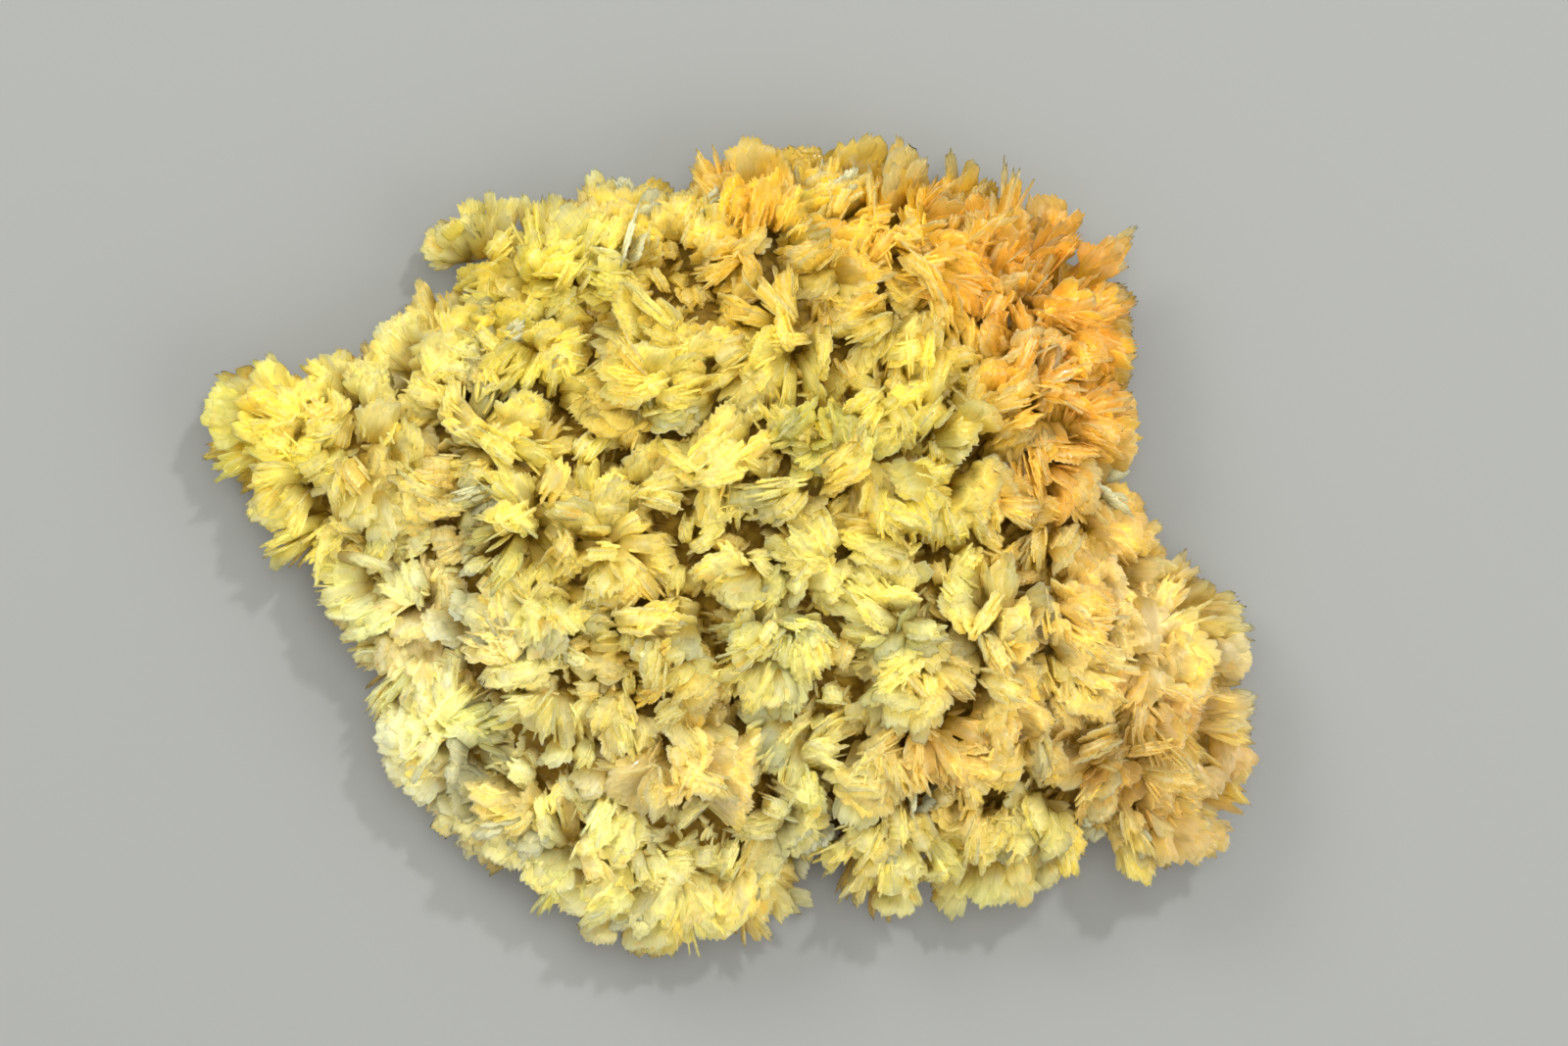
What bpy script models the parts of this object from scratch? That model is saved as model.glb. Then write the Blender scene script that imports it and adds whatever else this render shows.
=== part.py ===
"""Barite specimen: a plate of yellow, bladed barite crystals that lies on its broken back.

Metres, +Z up. +X runs to the right across the plate, +Y to its upper edge, and the crystals point up. The
origin is at the middle of the plate's outline, on the flat back that it rests on. Everything grew as one
piece: a domed crust, and on it clusters of flat blades that flare from a narrow root and end in a sharp crest.
"""

import math
import random
from typing import NamedTuple

import bmesh
import bpy
from mathutils import Matrix, Vector

MM = 0.001

# Overall size. The plate's outline spans these pixels of the photograph, 1600 by 1067.
SPECIMEN_WIDTH = 120 * MM
PHOTO_LEFT, PHOTO_RIGHT = 190, 1293
PHOTO_TOP, PHOTO_BOTTOM = 132, 990
PIXEL = SPECIMEN_WIDTH / (PHOTO_RIGHT - PHOTO_LEFT)

# The crust: its rim, as a distance from the middle every 15 degrees from +X, and its height.
CRUST_RIM = [r * MM for r in (44, 42, 47, 44, 42, 42, 39.5, 37.5, 38.5, 40, 41, 54,
                              45, 38, 39, 38.5, 38, 40, 38.5, 31, 38, 45, 56, 52)]
CRUST_MIDDLE = 20 * MM
CRUST_EDGE = 8.5 * MM
DOME_POWER = 2.4
CRUST_SECTORS = 24
CRUST_RINGS = (0.97, 0.75, 0.42)
BACK_SHARE = 0.84
WAIST_SHARE = 1.0
WAIST_HEIGHT = 3.6 * MM
WAVE_HEIGHT = 0.9 * MM
WAVE_X, WAVE_Y = 9.0 * MM, 7.5 * MM
CRUST_JITTER = 0.03

# A cluster's blades reach this far past its radius in the photograph, from a root sunk in the crust.
REACH_FOR_RADIUS = 1.75
ROOT_SINK = 2.4 * MM
ROOT_OFFSET = 0.62
ROOT_SHARE = 0.93
BLADE_WIDTH = 0.86
BLADE_THICKNESS = {1: 0.42, 2: 0.34, 3: 0.3}
SHOULDER_SHARE = (0.52, 0.7)
CREST_SHARE = (0.35, 0.6)
CREST_SLOPE = 0.22
PAGE_LIMITS = (44, 50)
PAGE_ANGLE = 27
PAGE_GAP = 0.9 * MM
PAGE_JITTER = 9
SPIN_JITTER = 24

# Blades along the plate's side, below the clusters that are seen from the front.
SIDE_CLUSTERS = 24
SIDE_HEIGHT = (3.2 * MM, 6.6 * MM)
SIDE_REACH = (5.0 * MM, 7.4 * MM)

BARITE_YELLOW = (0.66, 0.50, 0.12, 1.0)
BARITE_ROUGHNESS = 0.32


class Cluster(NamedTuple):
    """A bundle of blades: its middle and radius in pixels of the photograph, and how it stands in degrees.

    lean is the way that the blades flare across the plate, 0 to the right and 90 up, tilt is how far they
    lie over from straight out, and roll turns the blades from edge on, at 0, to flat to the viewer, at 90.
    """

    x: int
    y: int
    radius: int
    lean: int
    tilt: int
    roll: int


CLUSTERS = [Cluster(*row) for row in (
    # The left tip.
    (222, 410, 22, 172, 66, 40), (238, 402, 20, 112, 60, 75), (268, 404, 26, 120, 50, 75),
    (298, 398, 22, 95, 60, 70), (255, 428, 28, 160, 35, 10), (226, 446, 22, 215, 60, 45),
    (265, 458, 28, 235, 60, 60), (303, 430, 26, 60, 30, 20), (325, 415, 22, 90, 35, 0),
    (345, 382, 26, 92, 60, 5), (305, 462, 26, 250, 45, 70), (278, 498, 34, 205, 52, 15),
    (290, 545, 34, 225, 55, 15), (335, 480, 26, 270, 40, 65), (372, 492, 30, 305, 45, 15),
    (352, 435, 24, 280, 40, 30), (385, 400, 28, 75, 55, 40), (395, 445, 26, 320, 40, 60),
    (345, 535, 34, 335, 50, 10), (392, 550, 28, 300, 50, 60), (355, 574, 42, 352, 74, 0),
    (425, 470, 26, 355, 60, 70), (425, 515, 30, 210, 50, 60), (452, 495, 28, 275, 50, 70),
    # The upper left.
    (478, 240, 38, 125, 35, 30), (517, 225, 20, 80, 60, 50), (520, 285, 32, 265, 45, 10),
    (470, 290, 30, 240, 45, 60), (434, 300, 20, 75, 75, 0), (455, 355, 34, 85, 50, 60),
    (430, 335, 28, 130, 60, 20), (393, 345, 30, 115, 60, 20), (362, 376, 26, 110, 60, 10),
    (548, 225, 26, 100, 60, 10), (560, 268, 30, 60, 30, 20), (566, 306, 20, 270, 60, 80),
    (590, 238, 34, 80, 42, 30), (620, 208, 32, 95, 60, 60), (655, 208, 30, 50, 60, 60),
    (640, 252, 36, 260, 35, 20), (610, 288, 32, 200, 50, 60), (485, 345, 32, 60, 40, 60),
    (525, 345, 30, 20, 50, 60), (487, 378, 26, 200, 40, 60), (545, 378, 36, 260, 35, 20),
    (578, 340, 30, 40, 40, 50), (594, 388, 28, 15, 60, 20), (430, 395, 36, 160, 50, 10),
    (490, 415, 34, 60, 45, 5), (470, 455, 36, 180, 58, 15), (535, 460, 40, 340, 45, 15),
    (562, 442, 26, 60, 60, 30),
    # The upper edge.
    (700, 218, 34, 100, 42, 40), (742, 215, 32, 70, 50, 20), (735, 275, 34, 215, 45, 10),
    (765, 172, 42, 92, 60, 15), (733, 176, 24, 150, 60, 70), (795, 172, 24, 30, 60, 10),
    (830, 164, 28, 140, 60, 60), (864, 160, 28, 45, 60, 60), (870, 197, 38, 60, 45, 15),
    (815, 217, 40, 60, 45, 10), (925, 180, 40, 82, 60, 15), (946, 217, 36, 45, 50, 10),
    (1003, 198, 36, 72, 60, 20), (930, 255, 36, 250, 40, 60), (870, 247, 34, 120, 40, 60),
    (880, 282, 36, 0, 50, 10), (828, 275, 40, 200, 45, 15), (1010, 247, 42, 110, 40, 10),
    (1040, 287, 30, 290, 45, 20), (975, 302, 42, 320, 45, 15), (935, 292, 34, 230, 45, 60),
    # The upper right.
    (1076, 210, 30, 90, 72, 20), (1045, 228, 26, 60, 55, 30), (1130, 262, 36, 30, 60, 20),
    (1085, 287, 34, 60, 30, 60), (1146, 316, 26, 0, 68, 70), (1120, 327, 36, 30, 58, 10),
    (1060, 347, 42, 60, 45, 10), (1088, 377, 36, 20, 45, 10), (1122, 360, 34, 350, 60, 70),
    (1134, 420, 40, 20, 50, 20), (1096, 427, 28, 60, 50, 10), (1136, 465, 36, 340, 60, 30),
    (1148, 532, 38, 20, 60, 60), (1172, 577, 34, 350, 62, 50), (1168, 620, 32, 330, 50, 70),
    (1130, 562, 34, 270, 40, 10), (1070, 500, 42, 280, 35, 10), (1075, 570, 34, 275, 40, 10),
    (1097, 606, 24, 270, 45, 10), (1035, 440, 36, 250, 40, 40), (1025, 400, 34, 60, 40, 50),
    # The middle.
    (960, 412, 38, 60, 40, 20), (905, 442, 38, 270, 40, 50), (870, 432, 34, 120, 45, 60),
    (885, 352, 42, 230, 45, 10), (945, 372, 34, 300, 40, 60), (808, 387, 42, 265, 40, 15),
    (752, 392, 34, 250, 45, 20), (780, 330, 42, 160, 40, 15), (688, 340, 30, 60, 55, 20),
    (648, 345, 42, 200, 30, 60), (640, 412, 44, 220, 40, 60), (704, 408, 30, 200, 45, 30),
    (682, 385, 38, 60, 25, 40), (716, 345, 24, 80, 60, 40), (745, 450, 34, 100, 45, 60),
    (720, 502, 44, 240, 45, 20), (672, 482, 36, 70, 40, 60), (778, 512, 40, 210, 40, 15),
    (820, 472, 38, 250, 50, 50), (882, 490, 38, 300, 40, 50), (930, 517, 36, 320, 45, 20),
    (878, 557, 40, 200, 45, 20), (816, 562, 36, 180, 45, 20), (982, 520, 40, 310, 40, 15),
    (1022, 522, 34, 320, 40, 15), (1000, 622, 50, 110, 20, 15), (618, 490, 28, 80, 60, 20),
    (582, 505, 32, 320, 45, 50), (515, 545, 50, 200, 30, 30), (640, 545, 46, 20, 30, 20),
    (662, 590, 36, 320, 45, 20), (594, 577, 28, 300, 50, 50), (540, 600, 36, 60, 40, 60),
    (435, 592, 30, 90, 45, 15), (500, 620, 42, 176, 64, 40), (576, 637, 42, 290, 40, 10),
    (760, 602, 38, 250, 35, 20), (816, 612, 34, 280, 40, 30), (768, 675, 44, 240, 35, 40),
    (796, 694, 24, 265, 50, 10), (818, 668, 34, 280, 40, 10), (890, 640, 44, 200, 30, 30),
    (905, 702, 50, 230, 30, 20), (672, 630, 42, 10, 55, 5), (682, 672, 34, 190, 45, 5),
    (690, 702, 36, 270, 35, 30), (622, 655, 30, 0, 50, 5),
    # The lower left.
    (405, 602, 30, 180, 45, 60), (352, 612, 38, 205, 58, 15), (422, 642, 34, 270, 40, 60),
    (384, 684, 40, 235, 50, 5), (432, 682, 34, 270, 45, 5), (510, 672, 42, 230, 30, 60),
    (567, 737, 38, 272, 50, 20), (488, 730, 46, 18, 50, 10), (498, 775, 42, 0, 60, 5),
    (408, 738, 42, 160, 54, 50), (418, 778, 36, 245, 55, 20), (466, 828, 36, 205, 60, 60),
    (500, 868, 34, 235, 60, 60), (580, 842, 52, 100, 20, 20), (626, 852, 34, 300, 50, 60),
    (560, 902, 34, 245, 55, 20), (622, 907, 32, 190, 55, 10), (614, 944, 34, 215, 60, 20),
    (664, 952, 34, 265, 66, 60), (686, 907, 34, 50, 50, 50), (704, 940, 34, 300, 50, 20),
    (740, 946, 28, 285, 60, 40), (746, 902, 36, 100, 30, 40), (778, 926, 32, 325, 60, 50),
    (702, 797, 50, 280, 25, 15), (722, 752, 32, 330, 50, 50), (640, 752, 32, 280, 50, 15),
    (622, 727, 28, 270, 50, 20), (770, 840, 46, 200, 35, 10), (808, 862, 32, 310, 55, 40),
    # The lower right.
    (836, 742, 40, 60, 52, 20), (784, 762, 38, 220, 58, 10), (838, 812, 30, 330, 40, 60),
    (962, 692, 40, 330, 45, 10), (1032, 702, 34, 335, 55, 5), (888, 800, 44, 268, 38, 80),
    (925, 790, 38, 280, 45, 10), (972, 770, 38, 300, 50, 10), (1008, 777, 34, 340, 50, 10),
    (1042, 732, 32, 340, 55, 50), (1040, 787, 34, 260, 50, 10), (1096, 722, 34, 100, 40, 20),
    (1102, 782, 46, 220, 35, 15), (1128, 757, 26, 45, 60, 20), (1100, 650, 50, 320, 35, 5),
    (1148, 642, 30, 10, 55, 30), (1122, 702, 42, 310, 48, 5), (1182, 655, 24, 20, 60, 70),
    (1070, 692, 30, 280, 50, 20), (1206, 702, 44, 290, 35, 50), (1182, 757, 34, 300, 45, 20),
    (1234, 640, 38, 60, 50, 10), (1256, 664, 30, 345, 64, 50), (1232, 682, 34, 310, 50, 60),
    (1256, 745, 34, 330, 60, 20), (1256, 786, 36, 320, 68, 10), (1206, 792, 42, 350, 55, 15),
    (1230, 822, 36, 332, 62, 10), (1206, 846, 42, 322, 60, 20), (1186, 866, 24, 270, 64, 60),
    (1124, 832, 28, 290, 50, 50), (890, 880, 40, 265, 52, 15), (905, 920, 24, 265, 64, 50),
    (945, 872, 38, 290, 50, 10), (962, 912, 24, 310, 64, 20), (1000, 860, 38, 270, 40, 15),
    (1058, 852, 40, 250, 35, 10), (1030, 906, 38, 262, 60, 40), (1076, 868, 30, 325, 55, 60),
)]


def plate_place(x, y):
    """The place on the plate, in metres from its middle, of a pixel of the photograph."""
    middle_x = (PHOTO_LEFT + PHOTO_RIGHT) / 2
    middle_y = (PHOTO_TOP + PHOTO_BOTTOM) / 2
    return Vector(((x - middle_x) * PIXEL, (middle_y - y) * PIXEL))


def rim_radius(angle):
    """How far the crust's rim is from the middle, in the direction of angle."""
    place = (angle % math.tau) / math.tau * len(CRUST_RIM)
    before = int(place) % len(CRUST_RIM)
    after = (before + 1) % len(CRUST_RIM)
    share = place - int(place)
    share = share * share * (3 - 2 * share)
    return CRUST_RIM[before] * (1 - share) + CRUST_RIM[after] * share


def crust_height(x, y):
    """The height of the crust under the crystals: a low dome with shallow waves."""
    share = min(math.hypot(x, y) / rim_radius(math.atan2(y, x)), 1.0)
    height = CRUST_EDGE + (CRUST_MIDDLE - CRUST_EDGE) * (1 - share**DOME_POWER)
    return height + WAVE_HEIGHT * math.sin(x / WAVE_X) * math.cos(y / WAVE_Y)


def move_ring(vertices, share, height, chance):
    """Puts a ring of the crust at a share of the rim's distance, with the dome's height if none is given."""
    for vertex in vertices:
        angle = math.atan2(vertex.co.y, vertex.co.x)
        reach = rim_radius(angle) * share * chance.uniform(1 - CRUST_JITTER, 1 + CRUST_JITTER)
        x, y = reach * math.cos(angle), reach * math.sin(angle)
        vertex.co = (x, y, crust_height(x, y) if height is None else height)


def crust_mesh(chance):
    """The crust as one closed mesh: a flat broken back, a waist, and the dome up to its middle."""
    mesh = bmesh.new()
    ring = bmesh.ops.create_circle(mesh, cap_ends=True, segments=CRUST_SECTORS, radius=1.0)["verts"]
    move_ring(ring, BACK_SHARE, 0.0, chance)
    edges = list(mesh.edges)
    for share, height in [(WAIST_SHARE, WAIST_HEIGHT)] + [(share, None) for share in CRUST_RINGS]:
        grown = bmesh.ops.extrude_edge_only(mesh, edges=edges)["geom"]
        move_ring([v for v in grown if isinstance(v, bmesh.types.BMVert)], share, height, chance)
        edges = [e for e in grown if isinstance(e, bmesh.types.BMEdge)]
    last = list({vertex for edge in edges for vertex in edge.verts})
    bmesh.ops.pointmerge(mesh, verts=last, merge_co=(0, 0, crust_height(0, 0)))
    bmesh.ops.recalc_face_normals(mesh, faces=mesh.faces)
    return mesh


def cluster_frame(cluster):
    """The directions of a cluster: how its blades grow, and the axis that they are stacked along."""
    lean, tilt, roll = (math.radians(a) for a in (cluster.lean, cluster.tilt, cluster.roll))
    across = Vector((math.cos(lean), math.sin(lean), 0))
    growth = across * math.sin(tilt) + Vector((0, 0, 1)) * math.cos(tilt)
    edge_on = Vector((-math.sin(lean), math.cos(lean), 0))
    flat_on = growth.cross(edge_on)
    stack = edge_on * math.cos(roll) - flat_on * math.sin(roll)
    return growth, stack


def cluster_ends(cluster, growth):
    """The point in the crust that a cluster's blades grow from, and the point of its crest."""
    reach = cluster.radius * PIXEL * REACH_FOR_RADIUS
    middle = plate_place(cluster.x, cluster.y)
    root = middle - growth.xy * reach * ROOT_OFFSET
    root = Vector((root.x, root.y, crust_height(root.x, root.y) - ROOT_SINK))
    crest = root + growth * (reach + ROOT_SINK)
    inside = rim_radius(math.atan2(root.y, root.x)) * ROOT_SHARE / root.xy.length
    if inside < 1:
        root.x, root.y = root.x * inside, root.y * inside
    return root, crest


def add_blade(mesh, root, growth, normal, length, width, thickness, chance):
    """Adds one blade: it widens and thickens from its root to its shoulders, and ends in a sharp crest."""
    frame = Matrix((growth.cross(normal), growth, normal)).transposed()
    half_width = width / 2
    half_crest = half_width * chance.uniform(*CREST_SHARE)
    shoulder = length * chance.uniform(*SHOULDER_SHARE)
    slope = chance.uniform(-CREST_SLOPE, CREST_SLOPE)
    corners = [(0, 0, 0)]
    for across, along in ((-half_width, shoulder), (half_width, shoulder)):
        corners += [(across, along + slope * across, side * thickness / 2) for side in (-1, 1)]
    corners += [(across, length + slope * across, 0) for across in (-half_crest, half_crest)]
    foot, left_back, left_front, right_back, right_front, left_tip, right_tip = (
        mesh.verts.new(root + frame @ Vector(corner)) for corner in corners)
    for face in ((foot, right_front, left_front), (foot, left_back, right_back),
                 (foot, right_back, right_front), (foot, left_front, left_back),
                 (left_front, right_front, right_tip, left_tip), (right_back, left_back, left_tip, right_tip),
                 (right_front, right_back, right_tip), (left_back, left_front, left_tip)):
        mesh.faces.new(face)


def page_frames(growth, stack, pages, chance):
    """Each blade's place in its cluster's stack, growth direction and face normal, opened like a book."""
    edge = growth.cross(stack).normalized()
    for page in range(pages):
        place = page - (pages - 1) / 2
        opening = place * PAGE_ANGLE + chance.uniform(-PAGE_JITTER, PAGE_JITTER)
        spin = chance.uniform(-SPIN_JITTER, SPIN_JITTER)
        hinge = Matrix.Rotation(math.radians(opening), 3, edge)
        turn = Matrix.Rotation(math.radians(spin), 3, growth)
        yield place, hinge @ growth, hinge @ turn @ edge.cross(growth)


def add_cluster(mesh, cluster, chance):
    """Adds a cluster's thick blades, each in the place of a bundle of thin ones."""
    growth, stack = cluster_frame(cluster)
    root, crest = cluster_ends(cluster, growth)
    growth = (crest - root).normalized()
    length = (crest - root).length
    bulk = cluster.radius * PIXEL * REACH_FOR_RADIUS + ROOT_SINK
    pages = 1 + sum(cluster.radius >= limit for limit in PAGE_LIMITS)
    for place, page_growth, normal in page_frames(growth, stack, pages, chance):
        page_root = root + stack * place * PAGE_GAP
        add_blade(mesh, page_root, page_growth, normal, length * chance.uniform(0.92, 1.0),
                  bulk * BLADE_WIDTH, bulk * BLADE_THICKNESS[pages], chance)


def add_side_blades(mesh, chance):
    """Adds the blades that stand out around the plate's side, close above the surface it lies on."""
    for turn in range(SIDE_CLUSTERS):
        angle = math.tau * (turn + chance.uniform(-0.25, 0.25)) / SIDE_CLUSTERS
        outward = Vector((math.cos(angle), math.sin(angle), 0))
        height = chance.uniform(*SIDE_HEIGHT)
        root = outward * (rim_radius(angle) - ROOT_SINK) + Vector((0, 0, height))
        growth = (outward + Vector((0, 0, chance.uniform(0.05, 0.35)))).normalized()
        normal = growth.orthogonal().normalized()
        normal = Matrix.Rotation(chance.uniform(0, math.pi), 3, growth) @ normal
        length = chance.uniform(*SIDE_REACH)
        add_blade(mesh, root, growth, normal, length,
                  length * BLADE_WIDTH, length * BLADE_THICKNESS[1], chance)


def keep_outer_shell(mesh):
    """Fills the small sealed gaps between crossing blades, by keeping only the outermost surface."""
    left, shells = set(mesh.faces), []
    while left:
        shell, edge_of_shell = set(), [left.pop()]
        while edge_of_shell:
            face = edge_of_shell.pop()
            shell.add(face)
            around = {other for edge in face.edges for other in edge.link_faces} & left
            left -= around
            edge_of_shell.extend(around)
        shells.append(shell)
    outer = max(shells, key=len)
    bmesh.ops.delete(mesh, geom=[f for shell in shells if shell is not outer for f in shell], context="FACES")


def new_object(name, mesh):
    """A scene object made from a bmesh, which is freed."""
    data = bpy.data.meshes.new(name)
    mesh.to_mesh(data)
    mesh.free()
    thing = bpy.data.objects.new(name, data)
    bpy.context.scene.collection.objects.link(thing)
    return thing


def barite_material():
    """Pale yellow, glossy barite."""
    material = bpy.data.materials.new("barite")
    material.use_nodes = True
    shader = material.node_tree.nodes["Principled BSDF"]
    shader.inputs["Base Color"].default_value = BARITE_YELLOW
    shader.inputs["Roughness"].default_value = BARITE_ROUGHNESS
    shader.inputs["Metallic"].default_value = 0.0
    return material


def main():
    """Builds the crust and its blades, and joins them in one solid."""
    for thing in list(bpy.data.objects):
        bpy.data.objects.remove(thing)
    crust = new_object("crust", crust_mesh(random.Random(3)))
    blades_mesh = bmesh.new()
    for number, cluster in enumerate(CLUSTERS):
        add_cluster(blades_mesh, cluster, random.Random(number))
    add_side_blades(blades_mesh, random.Random(5))
    bmesh.ops.recalc_face_normals(blades_mesh, faces=blades_mesh.faces)
    blades = new_object("blades", blades_mesh)
    join = crust.modifiers.new("grown together", "BOOLEAN")
    join.operation = "UNION"
    join.solver = "EXACT"
    join.use_self = True
    join.object = blades
    graph = bpy.context.evaluated_depsgraph_get()
    joined = bmesh.new()
    joined.from_mesh(crust.evaluated_get(graph).data)
    keep_outer_shell(joined)
    bpy.data.objects.remove(crust)
    bpy.data.objects.remove(blades)
    specimen = new_object("barite_specimen", joined)
    specimen.data.materials.clear()
    specimen.data.materials.append(barite_material())


main()
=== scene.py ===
"""Looks of the barite specimen: thin yellow crystal blades in rosettes, grown on a rough domed crust.

Metres, +Z up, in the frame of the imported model. The specimen lies on its broken back and the camera looks
straight down on it.
"""

import itertools
import logging
import math
import random
from collections.abc import Callable, Iterator
from dataclasses import dataclass, field
from enum import Enum
from typing import NamedTuple

import bmesh
import bpy
import numpy as np
from mathutils import Matrix, Vector, noise


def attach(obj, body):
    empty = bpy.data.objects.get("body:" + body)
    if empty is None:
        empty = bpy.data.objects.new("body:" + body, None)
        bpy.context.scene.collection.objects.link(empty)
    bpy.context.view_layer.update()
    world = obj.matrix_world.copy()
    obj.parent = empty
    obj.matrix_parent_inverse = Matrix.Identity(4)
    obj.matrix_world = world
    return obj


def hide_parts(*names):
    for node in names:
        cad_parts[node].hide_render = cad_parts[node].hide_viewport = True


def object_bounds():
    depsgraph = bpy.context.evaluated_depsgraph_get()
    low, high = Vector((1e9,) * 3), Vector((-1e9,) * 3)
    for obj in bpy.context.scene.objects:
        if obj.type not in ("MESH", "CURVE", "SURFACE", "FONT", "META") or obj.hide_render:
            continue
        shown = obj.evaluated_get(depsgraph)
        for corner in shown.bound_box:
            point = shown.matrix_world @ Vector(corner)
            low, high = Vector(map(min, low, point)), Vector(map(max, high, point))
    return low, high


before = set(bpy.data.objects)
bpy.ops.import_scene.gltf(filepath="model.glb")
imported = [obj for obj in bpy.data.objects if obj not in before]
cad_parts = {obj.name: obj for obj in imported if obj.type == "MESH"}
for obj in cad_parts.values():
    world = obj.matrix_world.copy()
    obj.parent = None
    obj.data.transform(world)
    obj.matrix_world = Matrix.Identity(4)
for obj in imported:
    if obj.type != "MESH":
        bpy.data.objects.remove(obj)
CAD_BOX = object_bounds()

LOG = logging.getLogger("barite")
MM = 0.001
NODE = "barite_specimen"

PHOTO_SIZE = (1600, 1067)
PHOTO_MIDDLE = ((190 + 1293) / 2, (132 + 990) / 2)
PIXEL = 120 * MM / (1293 - 190)

BARITE_IOR = 1.64

Colour = tuple[float, float, float]


class Habit(Enum):
    """How the blades of a cluster are gathered."""

    BOOK = "a sheaf that opens like the pages of a book"
    BALL = "a rosette that opens to all sides"
    PLATES = "a few broad plates that overlap"
    TUFT = "short blades that fill a gap"


class Region(Enum):
    """The parts of the specimen that are kept as pieces of their own."""

    LEFT_ARM = 0
    UPPER_LEFT = 1
    UPPER_RIGHT = 2
    MIDDLE = 3
    LOWER_LEFT = 4
    LOWER_RIGHT = 5
    FAR_RIGHT = 6
    CENTRE = 7


class Cluster(NamedTuple):
    """A bundle of blades: its middle and radius in pixels of the photograph, and how it stands in degrees.

    lean is the way that the blades flare across the plate, 0 to the right and 90 up, tilt is how far they
    lie over from straight out, and roll turns the blades from edge on, at 0, to flat to the viewer, at 90.
    """

    x: float
    y: float
    radius: float
    lean: float
    tilt: float
    roll: float

    @property
    def habit(self) -> Habit:
        """The habit that goes with the cluster's size and roll."""
        if self.radius >= 50 or (self.x, self.y) in BALLS:
            return Habit.BALL
        return Habit.PLATES if self.roll >= 60 else Habit.BOOK


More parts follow.
